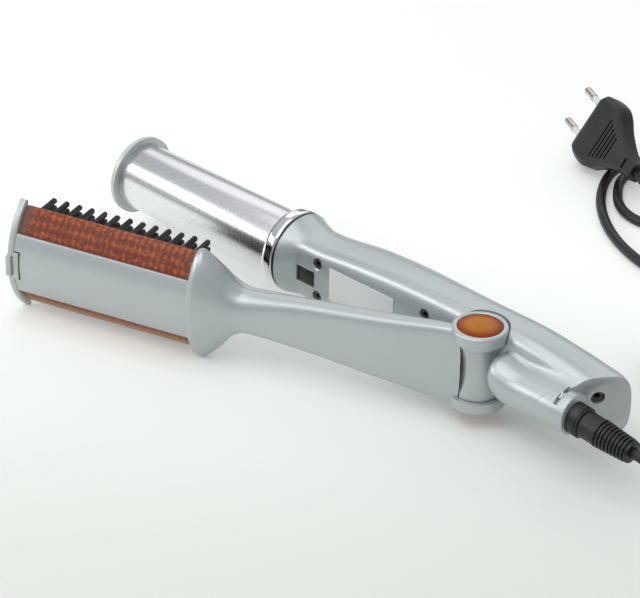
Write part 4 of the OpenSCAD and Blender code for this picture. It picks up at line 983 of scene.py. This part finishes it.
def cover_ring(x):
    """Section of the inner cover, below the line where it meets the shell."""
    level_y = curve(arm_split, x) - cover_gap
    share = (curve(arm_spine, x) - level_y) / (curve(arm_spine, x) - curve(arm_inner, x))
    first = math.pi / 2 + math.asin(share ** (curve(inner_square, x) / 2))
    angles = [first + (2 * math.pi - 2 * first) * k / 48 for k in range(49)]
    return [arm_point(x, a if a <= math.pi else a - 2 * math.pi, 0.02) for a in angles]


def cover_hollow(x):
    """Section of the hollow in the inner cover."""
    low, high = curve(arm_inner, x) + cover_t, curve(arm_split, x) + 2
    half = curve(arm_half, x) - wall - 1.6
    return [(x, high, -half), (x, high, half), (x, low, half), (x, low, -half)]


cover = loft("arm_cover", [cover_ring(x) for x in cover_places], arm_place)
cover_hollows = [cover_from + 2] + [x for x in cover_places if cover_from + 5 < x < cup_rim - 12]
cut(cover, loft("hollow", [cover_hollow(x) for x in cover_hollows], arm_place))
join(cover, rod("push_nub", 1.5, -3.9, 4, arm_place @ at(-switch_x, 0, switch_z) @ rotation(90, "X"), 0.5))
arm_screw_x = (34, 92)
join(cover, *[rod("post", 3, curve(arm_inner, x) + 0.5, curve(arm_outer, x) - wall - 0.2,
                  arm_place @ along((x, 0, 0), (0, 1, 0)), steps=40) for x in arm_screw_x])
arc = clipped_arc(guard_r + 3, guard_half + 0.15, 5)
inner_arc = clipped_arc(guard_r - guard_wall - 0.15, guard_half + 0.15, 5)
seat_ring = arc[1:-1] + list(reversed(inner_arc[1:-1]))
cut(cover, prism("guard_seat", seat_ring, (seat_from, cup_rim + 10), arm_place))
for x in arm_screw_x:
    low = curve(arm_inner, x)
    seat = [(0, low - 1), (head_r + 0.5, low - 1), (head_r + 0.2, low + 0.25), (head_r + 0.2, low + 1.2),
            (1.35, low + 1.2), (1.35, low + 29), (0, low + 29)]
    cut(cover, turned("screw_seat", seat, arm_place @ along((x, 0, 0), (0, 1, 0)), 48))
show(cover, silver, "arm", "silver_plastic", "arm_inner_cover", crease=26)
cover_screw_place = arm_place @ along((0, 0, 0), (0, 1, 0))
turn_back = cover_screw_place.inverted() @ arm_place
cover_points = [tuple(turn_back @ Vector((x, curve(arm_inner, x) + 0.2, 0))) for x in arm_screw_x]
cover_screws = grown("cover_screw_set", cross_screws, cover_screw_place,
                     {"Head Height": 1.0, "Material": steel}, cover_points)
show(cover_screws, steel, "arm", "steel", "arm_screws")

# Hinge: a steel pin through the knuckle, a torsion spring round it, and a glossy orange cap
# pressed into each ear. The upper cap is slightly domed.
hinge_pin = rod("hinge_bar", hinge_pin_r, -hinge_half + 1.8, hinge_half - 1.8, tool_place, 0.4, 96)
show(hinge_pin, steel, "arm", "steel", "hinge_pin")
dome_r = 42
dome_top = hinge_half + 1.2
dome = [(r, dome_top - dome_r + math.sqrt(dome_r ** 2 - r ** 2)) for r in
        (cap_r * math.sin(math.pi / 2 * k / 24) for k in range(25))]
upper_cap = turned("upper_cap", [(0, hinge_half - 1.6), (cap_r, hinge_half - 1.6), (cap_r, hinge_half - 0.45),
                                 (cap_r - 0.12, hinge_half - 0.12)]
                   + [p for p in reversed(dome) if p[0] < cap_r - 0.3], tool_place, 160)


def painted_rim_shade_group():
    """Painted shade for a round piece: colour that darkens from its middle, on the tool's hinge axis, to its
    rim, as the shading of a dome.
    """
    made, given, out = new_group("painted_rim_shade", "ShaderNodeTree", {
        "Middle": (0.5, 0.2, 0.02, 1), "Shaded Rim": (0.3, 0.05, 0.01, 1), "Radius": 0.01}, {"Colour": "Color"})
    place = made.add("ShaderNodeTexCoord").outputs["Object"]
    level = made.add("ShaderNodeVectorMath", {0: place, 1: (1, 1, 0)}, operation="MULTIPLY").outputs[0]
    off_axis = made.add("ShaderNodeVectorMath", {0: level}, operation="LENGTH").outputs["Value"]
    core = made.reckon("MULTIPLY", given["Radius"], 0.45)
    share = made.stepped(off_axis, core, given["Radius"], kind="SMOOTHERSTEP")
    made.feed(out, {"Colour": made.mixed(share, given["Middle"], given["Shaded Rim"])})
    return made.tree


# The caps' orange is painted shade: lighter in the middle and darker towards the rim, as the shading of a dome.
cap_painted_shade = (painted_rim_shade_group(), {"Middle": (0.44, 0.155, 0.016, 1), "Shaded Rim": (0.26, 0.045, 0.010, 1),
                               "Radius": cap_r * mm})
cap_orange = finish_of("cap_orange", cap_painted_shade, 0.2, cloud=(160, 0.24), grain=(2200, 0.05), scuff=0.05,
                       depth=0.004, Coat_Weight=0.04, Coat_Roughness=0.08, Specular_IOR_Level=0.1,
                       Subsurface_Weight=0.2, Subsurface_Scale=0.003)
show(upper_cap, cap_orange, "arm", "cap_orange", "hinge_cap_top")
lower_cap = turned("lower_cap", eased([(0, 0), (cap_r, 0), (cap_r, 1.6), (0, 1.6)], 0.25), at(0, 0, 0), 160)
show(lower_cap, cap_orange, "arm", "cap_orange", "hinge_cap_bottom")
spring_r = 4.3
spring_wire_r = 0.55
spring_half = 5.5 - spring_wire_r
spring_turns = 6
turn_steps = 32
spring_steps = spring_turns * turn_steps
spring_line = []
for k in range(spring_steps + 1):
    angle = 2 * math.pi * k / turn_steps
    height = middle - spring_half + 2 * spring_half * k / spring_steps
    spring_line.append(Vector((spring_r * math.cos(angle), spring_r * math.sin(angle), height)))
show(round_wire("torsion_coil", spring_line, spring_wire_r, 3), steel, "handle", "steel", "torsion_spring")

# Brush: a translucent orange guard over a dark spine, a silver shield snapped over the guard,
# and two rows of black tufts on each side. The brush is pushed into the cup.
brush_len = 89.1
brush_end = cup_rim + brush_len
shield_half = 14.8
tab_half = 6.8


def arc_strip(inner, outer, half, ends):
    """A curved strip across the arm, with eased edges, lofted along the arm."""
    def outline(x, inset):
        rims = (outer - inset, inner + inset)
        reach_out, reach_in = (math.asin((half - inset) / r) for r in rims)
        sides = ((rims[0], between(-reach_out, reach_out, 0.025)),
                 (rims[1], between(reach_in, -reach_in, 0.025)))
        ring = [(guard_y + r * math.cos(a), r * math.sin(a)) for r, angles in sides for a in angles]
        return [(x, *p) for p in eased(ring, 0.4, 2)]
    first, last = ends
    ease = 0.25
    return [outline(first, ease), outline(first + ease, 0),
            *[outline(x, 0) for x in between(first + 4, last - 4, 6)],
            outline(last - ease, 0), outline(last, ease)]


brush_ends = (cup_rim - seat_in, brush_end)
guard = loft("orange_guard", arc_strip(guard_r - guard_wall, guard_r, guard_half, brush_ends), arm_place)
shield = loft("silver_shield", arc_strip(guard_r + 0.05, guard_r + 1.05, shield_half, brush_ends), arm_place)
cut(shield, block("tab_notch", (brush_end - 3.2, 20, -tab_half - 0.4), (brush_end + 7, 30, tab_half + 0.4),
                  arm_place))
show(shield, silver, "arm", "silver_plastic", "brush_shield")
spine_half = 15.4
spine_wall = 2.4
spine_low = 12.5
spine_floor = 18.5
chassis_r = guard_r - guard_wall - 0.1
chassis_reach = math.asin(spine_half / chassis_r)
chassis_ring = [(spine_low, -spine_half)]
chassis_ring += [(guard_y + chassis_r * math.cos(a), chassis_r * math.sin(a))
                 for a in between(-chassis_reach, chassis_reach, 0.03)]
chassis_ring += [(spine_low, spine_half), (spine_low, spine_half - spine_wall),
                 (spine_floor, spine_half - spine_wall), (spine_floor, spine_wall - spine_half),
                 (spine_low, spine_wall - spine_half)]
chassis = prism("brush_spine", chassis_ring, brush_ends, arm_place)
dark_grey = finish_of("dark_grey", (0.045, 0.045, 0.05), 0.5, cloud=(80, 0.15), grain=(1500, 0.2))
show(chassis, dark_grey, "arm", "dark_plastic", "brush_chassis", crease=20)


def root_rows_group():
    """Mottled colour of clear plastic over rows of bristle roots, greyer towards both ends of a length, with
    painted light: it turns to a lighter colour from one height down to a lower one.
    """
    made, given, out = new_group("root_rows", "ShaderNodeTree", {
        "Dark": (0.12, 0.03, 0.015, 1), "Bright": (0.6, 0.15, 0.04, 1), "End": (0.14, 0.09, 0.07, 1),
        "Pitch": 0.0066, "Row Pitch": 0.0072, "Wobble": 4.0, "Start": 0.1, "Finish": 0.2,
        "Painted Lit Underside": (0.6, 0.25, 0.1, 1), "Low Top": 0.004, "Low Bottom": -0.005}, {"Colour": "Color"})
    place = made.add("ShaderNodeTexCoord").outputs["Object"]
    unturned = (0, 0, -math.radians(180 + arm_open))
    on_arm = made.add("ShaderNodeMapping", {"Vector": place, "Rotation": unturned}).outputs[0]
    split = made.add("ShaderNodeSeparateXYZ", {0: on_arm}).outputs
    length = made.reckon("DIVIDE", split["X"], given["Pitch"])
    height = made.reckon("DIVIDE", split["Z"], given["Row Pitch"])
    shake = made.reckon("MULTIPLY", made.reckon("SUBTRACT", made.noise(place, 520, 3), 0.5), given["Wobble"])
    waves = []
    for way in ("ADD", "SUBTRACT"):
        phase = made.reckon("MULTIPLY", made.reckon(way, length, height), 2 * math.pi)
        waves.append(made.reckon("SINE", made.reckon("ADD", phase, shake)))
    lozenge = made.stepped(made.reckon("MULTIPLY", *waves), -0.5, 0.7)
    patchy = made.stepped(made.noise(place, 620, 4), 0.34, 0.60)
    colour = made.mixed(made.reckon("MULTIPLY", lozenge, patchy), given["Dark"], given["Bright"])
    near_start = made.stepped(split["X"], given["Start"], made.reckon("ADD", given["Start"], 0.006))
    near_finish = made.stepped(split["X"], made.reckon("SUBTRACT", given["Finish"], 0.008), given["Finish"])
    middle_share = made.reckon("MULTIPLY", near_start, made.reckon("SUBTRACT", 1.0, near_finish))
    lengthways = made.mixed(middle_share, given["End"], colour)
    # Painted light: below a given height the colour shades over to a lighter one, as light coming through the
    # plastic.
    lit_low = made.stepped(split["Z"], given["Low Top"], given["Low Bottom"])
    made.feed(out, {"Colour": made.mixed(lit_low, lengthways, given["Painted Lit Underside"])})
    return made.tree


# The guard's lower strip is painted lighter towards its bottom edge, as light shining through it.
guard_tint = (root_rows_group(), {
    "Dark": (0.17, 0.038, 0.022, 1), "Bright": (0.42, 0.105, 0.034, 1), "End": (0.16, 0.085, 0.055, 1),
    "Painted Lit Underside": (0.56, 0.27, 0.12, 1), "Low Top": (middle - shield_half - 1) * mm,
    "Low Bottom": (middle - guard_half) * mm, "Pitch": 6.62 * mm, "Row Pitch": 7.2 * mm,
    "Start": (cup_rim - 2) * mm, "Finish": brush_end * mm})
guard_orange = finish_of("guard_orange", guard_tint, 0.40, cloud=(120, 0.2), grain=(1500, 0.1), depth=0.012,
                         Coat_Weight=0.06, Coat_Roughness=0.15, Specular_IOR_Level=0.22,
                         Subsurface_Weight=0.15, Subsurface_Scale=0.002)
show(guard, guard_orange, "arm", "amber_plastic", "amber_guard")


def tuft_group():
    """Tufts in even rows: each one a spiral of tapered strands that lean a little apart."""
    made, given, out = new_group("bristle_tufts", "GeometryNodeTree", {
        "Tufts": 13, "Tuft Pitch": 6.67, "Rows": 2, "Row Pitch": 3.6, "Row Drop": -2.4, "Strands": 26,
        "Tuft Radius": 1.25, "Strand Radius": 0.33, "Strand Length": 12.0, "Lean": 0.012, "Seed": 3,
        "Material": "Material"}, {"Bristles": "Geometry"})
    golden_turn = 2.39996
    full_turn = 6.28
    index = made.add("GeometryNodeInputIndex").outputs[0]
    tip_radius = made.reckon("MULTIPLY", given["Strand Radius"], 0.75)
    strand = made.add("GeometryNodeMeshCone", {
        "Vertices": 6, "Side Segments": 2, "Radius Top": tip_radius, "Radius Bottom": given["Strand Radius"],
        "Depth": given["Strand Length"]}).outputs["Mesh"]
    share = made.reckon("DIVIDE", made.reckon("ADD", index, 0.5), given["Strands"])
    reach = made.reckon("MULTIPLY", given["Tuft Radius"], made.reckon("SQRT", share))
    turn = made.reckon("MULTIPLY", index, golden_turn)
    sunk = made.reckon("MULTIPLY", made.reckon("POWER", reach, 2.0), -0.45)
    place = made.vector(made.reckon("MULTIPLY", reach, made.reckon("COSINE", turn)),
                        made.reckon("MULTIPLY", reach, made.reckon("SINE", turn)), sunk)
    spiral = made.add("GeometryNodePoints", {"Count": given["Strands"], "Position": place}).outputs[0]

    def drawn(low, high):
        limits = {"Min": low, "Max": high, "Seed": given["Seed"]}
        return made.add("FunctionNodeRandomValue", limits, data_type="FLOAT_VECTOR").outputs["Value"]

    lean_back = made.reckon("MULTIPLY", given["Lean"], -1)
    lean = drawn(made.vector(lean_back, lean_back), made.vector(given["Lean"], given["Lean"]))
    tuft = copies(made, spiral, strand, Rotation=lean)
    step = made.vector(given["Tuft Pitch"])
    row = made.add("GeometryNodeMeshLine", {"Count": given["Tufts"], "Offset": step}).outputs[0]
    row_points = made.add("GeometryNodeMeshToPoints", {0: row}).outputs[0]
    tuft_row = copies(made, row_points, tuft, Rotation=drawn((0, 0, 0), made.vector(0, 0, full_turn)))
    row_step = made.vector(0, given["Row Pitch"], given["Row Drop"])
    rows = made.add("GeometryNodeMeshLine", {"Count": given["Rows"], "Offset": row_step}).outputs[0]
    made.feed(out, {"Bristles": finished(made, copies(made, rows, tuft_row), given["Material"])})
    return made.tree


bristle_tufts = tuft_group()
tufts = 13
tuft_from = 3.4
tuft_end_gap = 5.7
tuft_pitch = (brush_len - tuft_from - tuft_end_gap) / (tufts - 1)
strip = [(16.3, spine_half + 0.1), (10.5, 23), (9.2, 23), (15, spine_half + 0.1)]
strip_fall = (strip[2][0] - strip[3][0]) / (strip[2][1] - strip[3][1])
row_heights = (18.1, 21.7)
tip_depth = 1.5
roots = strip[3][0] + strip_fall * (row_heights[0] - strip[3][1]) + 0.5
strand_len = roots - tip_depth
bristle_black = finish_of("bristle_black", (0.012, 0.012, 0.013), 0.4, cloud=(400, 0.3), grain=(3000, 0.2),
                          depth=0.005)
for name, side, node in (("upper_tufts", 1, "bristle_row_upper"), ("lower_tufts", -1, "bristle_row_lower")):
    stand = Matrix(((1, 0, 0, cup_rim + tuft_from), (0, 0, -1, roots - strand_len / 2),
                    (0, side, 0, side * row_heights[0]), (0, 0, 0, 1)))
    bristles = grown(name, bristle_tufts, arm_place @ stand, {
        "Tufts": tufts, "Tuft Pitch": tuft_pitch, "Row Pitch": row_heights[1] - row_heights[0],
        "Row Drop": 0.0, "Strand Length": strand_len, "Seed": 3 + side, "Material": bristle_black})
    bed = prism("bed", [(y, side * z) for y, z in strip], (cup_rim + 0.3, brush_end - 0.3), arm_place)
    show(merged(bristles, bed), bristle_black, "arm", "black_plastic", node, crease=40)

# Brush end cap: a silver-grey plate with a rounded rim, a thumb nub in its middle and a tab
# that snaps into the shield's notch. It is pressed onto the spine.
cap_depth = 24.6
cap_arc = 35.6
cap_t = 3.5
cap_flat = 9.4


def cap_outline(inset):
    """Outline of the end plate: an arc, cut flat below and at both sides."""
    radius, floor, half = cap_arc - inset, cap_flat + inset, cup_half - inset
    centre = cap_depth - cap_arc
    top = min(math.acos((floor - centre) / radius), math.asin(half / radius))
    arc_points = [(centre + radius * math.cos(a), radius * math.sin(a)) for a in between(-top, top, 0.02)]
    corner = [(floor, -arc_points[-1][1])] if arc_points[0][0] > floor + 0.05 else []
    return corner + arc_points + [(y, -z) for y, z in corner]


cap_levels = [(0, 0.7), (0.15, 0.35), (0.5, 0.08), (0.9, 0), (2.4, 0), (2.9, 0.12), (3.3, 0.45), (3.5, 1.0)]
cap_rings = [[(brush_end + x, *p) for p in cap_outline(inset)] for x, inset in cap_levels]
brush_cap = loft("brush_cap", cap_rings, arm_place)
cut(brush_cap, block("thumb_recess", (brush_end + cap_t - 0.8, 12, -18), (brush_end + cap_t + 1, 19, 18),
                     arm_place, 0.3))
nub_half = 6.4
nub_root = cap_depth - 3
nub = []
for x, inset, depth in ((0.6, 0.4, 4.2), (1.0, 0, 4.8), (2.9, 0, 4.8), (3.4, 0.5, 4.1)):
    low_half = nub_half - inset
    top_half = low_half - depth * 0.33
    nub.append([(brush_end + x, nub_root, -low_half), (brush_end + x, nub_root + depth, -top_half),
                (brush_end + x, nub_root + depth, top_half), (brush_end + x, nub_root, low_half)])
guard_top = guard_y + guard_r
join(brush_cap, loft("thumb_nub", nub, arm_place),
     block("tab", (brush_end - 2.7, guard_top + 0.1, -tab_half), (brush_end + 0.5, guard_top + 1.6, tab_half),
           arm_place, 0.3))
cap_silver = finish_of("cap_silver", (0.50, 0.53, 0.52), 0.4, cloud=(60, 0.06), grain=(2800, 0.12),
                       Metallic=0.5)
show(brush_cap, cap_silver, "arm", "silver_plastic", "brush_end_cap")

# Cord swivel: a black collar that turns in the tube's mouth, and a ribbed rubber strain relief
# moulded on it. The ribs get smaller towards the cord.
cord_bore = cord_d / 2 + 0.05
swivel_neck = [(cord_bore, -17.3), (6.3, -17.3), (6.3, -14.4), (4.5, -14.4), (4.5, -10.8), (7.2, -10.8)]
swivel_head = eased([(7.2, 0), (7.2, 4.6), (6.75, 4.6), (6.75, 5.1), (7.2, 5.1), (7.2, 5.6), (6.5, 6)], 0.2)[4:]
swivel = turned("swivel_sleeve", [*swivel_neck, *swivel_head, (cord_bore, 6)], swivel_place, 128)
show(swivel, black_plastic, "swivel", "black_plastic", "swivel_collar")
relief_r = 6.2
ribs = 9
ribs_from = 14
rib_pitch = (relief_reach - ribs_from - 1.4) / ribs
rib_fall = 0.12
relief_outline = [(cord_bore, 6), (relief_r, 6), (relief_r, ribs_from)]
for k in range(ribs):
    z = ribs_from + k * rib_pitch
    r = relief_r + 0.3 - k * rib_fall
    relief_outline += [(r, z + 0.02), (r, z + rib_pitch * 0.55), (r - 1, z + rib_pitch * 0.6),
                       (r - 1, z + rib_pitch * 0.98)]
relief_outline += [(relief_r - 0.9, relief_reach - 1.2), (relief_r - 1.2, relief_reach),
                   (cord_bore, relief_reach)]
relief_outline[1:-1] = eased(relief_outline[1:-1], 0.25, 2)
relief = turned("cord_relief", relief_outline, swivel_place, 96)
relief_black = finish_of("relief_black", (0.009, 0.009, 0.010), 0.44, cloud=(120, 0.3), grain=(1800, 0.3),
                         depth=0.03)
show(relief, relief_black, "swivel", "rubber", "strain_relief")

# Inner workings: drive, heater, board and switches, all hidden inside the barrel and the handle.
# They keep their exact solids, each with the finish of its real material.
inner_finishes = {
    "bulkhead": dark_grey,
    "core_tube": steel,
    "motor": steel,
    "micro_switch": black_plastic,
    "heat_switch": black_plastic,
    "heater_core": finish_of("fired_ceramic", (0.60, 0.55, 0.48), 0.7, cloud=(150, 0.2), grain=(900, 0.2)),
    "tip_bush": finish_of("sintered_bronze", (0.45, 0.28, 0.12), 0.4, cloud=(300, 0.2), grain=(1800, 0.3),
                          Metallic=1),
    "control_board": finish_of("board_green", (0.03, 0.14, 0.06), 0.5, cloud=(100, 0.1), grain=(1200, 0.1)),
    "drive_hub": finish_of("hub_acetal", (0.72, 0.71, 0.66), 0.42, cloud=(60, 0.05), grain=(1200, 0.06)),
}
inner_finishes["motor_pinion"] = inner_finishes["drive_hub"]
for node, material in inner_finishes.items():
    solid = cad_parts[node]
    solid.data.materials.clear()
    solid.data.materials.append(material)

# Table: a wide sheet of pale matt paper that everything lies on. It glows faintly to the camera and in
# reflections, more with distance, so that it shows as the photograph's white ground.
table_half = 6
table_top = table_z * mm - 2e-5
table = in_scene("table", bpy.data.meshes.new("table"))
table_corners = [(-table_half, -table_half, table_top), (table_half, -table_half, table_top),
                 (table_half, table_half, table_top), (-table_half, table_half, table_top)]
table.data.from_pydata(table_corners, [], [(0, 1, 2, 3)])
table_paper = bpy.data.materials.new("table_paper")
table_paper.use_nodes = True
paper = Nodes(table_paper.node_tree)
matt = paper.feed(table_paper.node_tree.nodes["Principled BSDF"], {
    "Base Color": (0.79, 0.81, 0.765, 1), "Roughness": 0.9})
spot = paper.add("ShaderNodeTexCoord").outputs["Object"]
view_way = (-math.sin(azimuth), math.cos(azimuth), 0)
away = paper.add("ShaderNodeVectorMath", {0: spot, 1: view_way}, operation="DOT_PRODUCT").outputs["Value"]
far_off = paper.add("ShaderNodeVectorMath", {0: spot}, operation="LENGTH").outputs["Value"]
glow_sum = paper.reckon("ADD", paper.stepped(away, -0.16, 0.16, 0.27), paper.stepped(far_off, 0.45, 1.5, 0.5))
ray = paper.add("ShaderNodeLightPath").outputs
seen = paper.reckon("MAXIMUM", ray["Is Camera Ray"], ray["Is Glossy Ray"])
seen = paper.reckon("MAXIMUM", seen, ray["Is Transmission Ray"])
glow = paper.add("ShaderNodeEmission", {
    "Color": (0.95, 0.97, 1, 1), "Strength": paper.reckon("MULTIPLY", glow_sum, seen)})
both = paper.add("ShaderNodeAddShader", {0: matt.outputs[0], 1: glow.outputs[0]})
paper.feed(table_paper.node_tree.nodes["Material Output"], {"Surface": both.outputs[0]})
table.data.materials.append(table_paper)

# Light: soft boxes low on the left, above in front, overhead and behind, and a pale room that is darker
# towards the horizon, so that bright metal shows a dark band as well as the lamps.


def soft_box(name, place, size, watts):
    """A soft lamp of a size in metres, turned to the middle of the tool."""
    lamp = in_scene(name, bpy.data.lights.new(name, "AREA"))
    lamp.data.shape = "RECTANGLE"
    lamp.data.size, lamp.data.size_y = size
    lamp.data.energy = watts
    lamp.location = place
    lamp.rotation_euler = (Vector((-0.08, -0.01, 0.02)) - Vector(place)).to_track_quat("-Z", "Y").to_euler()


soft_box("key_box", (-1.25, -1.2, 0.88), (1.3, 0.38), 8.2)
soft_box("front_box", (0.05, -0.70, 1.15), (1.3, 0.6), 4.9)
soft_box("top_box", (-0.3, -0.08, 1.35), (0.8, 0.8), 2.6)
soft_box("back_box", (-0.75, 1.1, 0.95), (1.6, 0.9), 3.2)
world = bpy.data.worlds.new("pale_room")
bpy.context.scene.world = world
world.use_nodes = True
room = Nodes(world.node_tree)
direction = room.add("ShaderNodeTexCoord").outputs["Generated"]
upward = room.add("ShaderNodeSeparateXYZ", {0: direction}).outputs["Z"]
walls = room.add("ShaderNodeValToRGB", {"Fac": upward})
for place, shade in ((0.0, 0.40), (0.25, 0.5), (0.8, 0.85)):
    stop = walls.color_ramp.elements.new(place)
    stop.color = (shade * 0.97, shade, shade * 1.01, 1)
walls.color_ramp.elements.remove(walls.color_ramp.elements[0])
walls.color_ramp.elements.remove(walls.color_ramp.elements[-1])
room.feed(world.node_tree.nodes["Background"], {"Color": walls.outputs["Color"], "Strength": 0.68})
bpy.context.scene.view_settings.view_transform = "Standard"
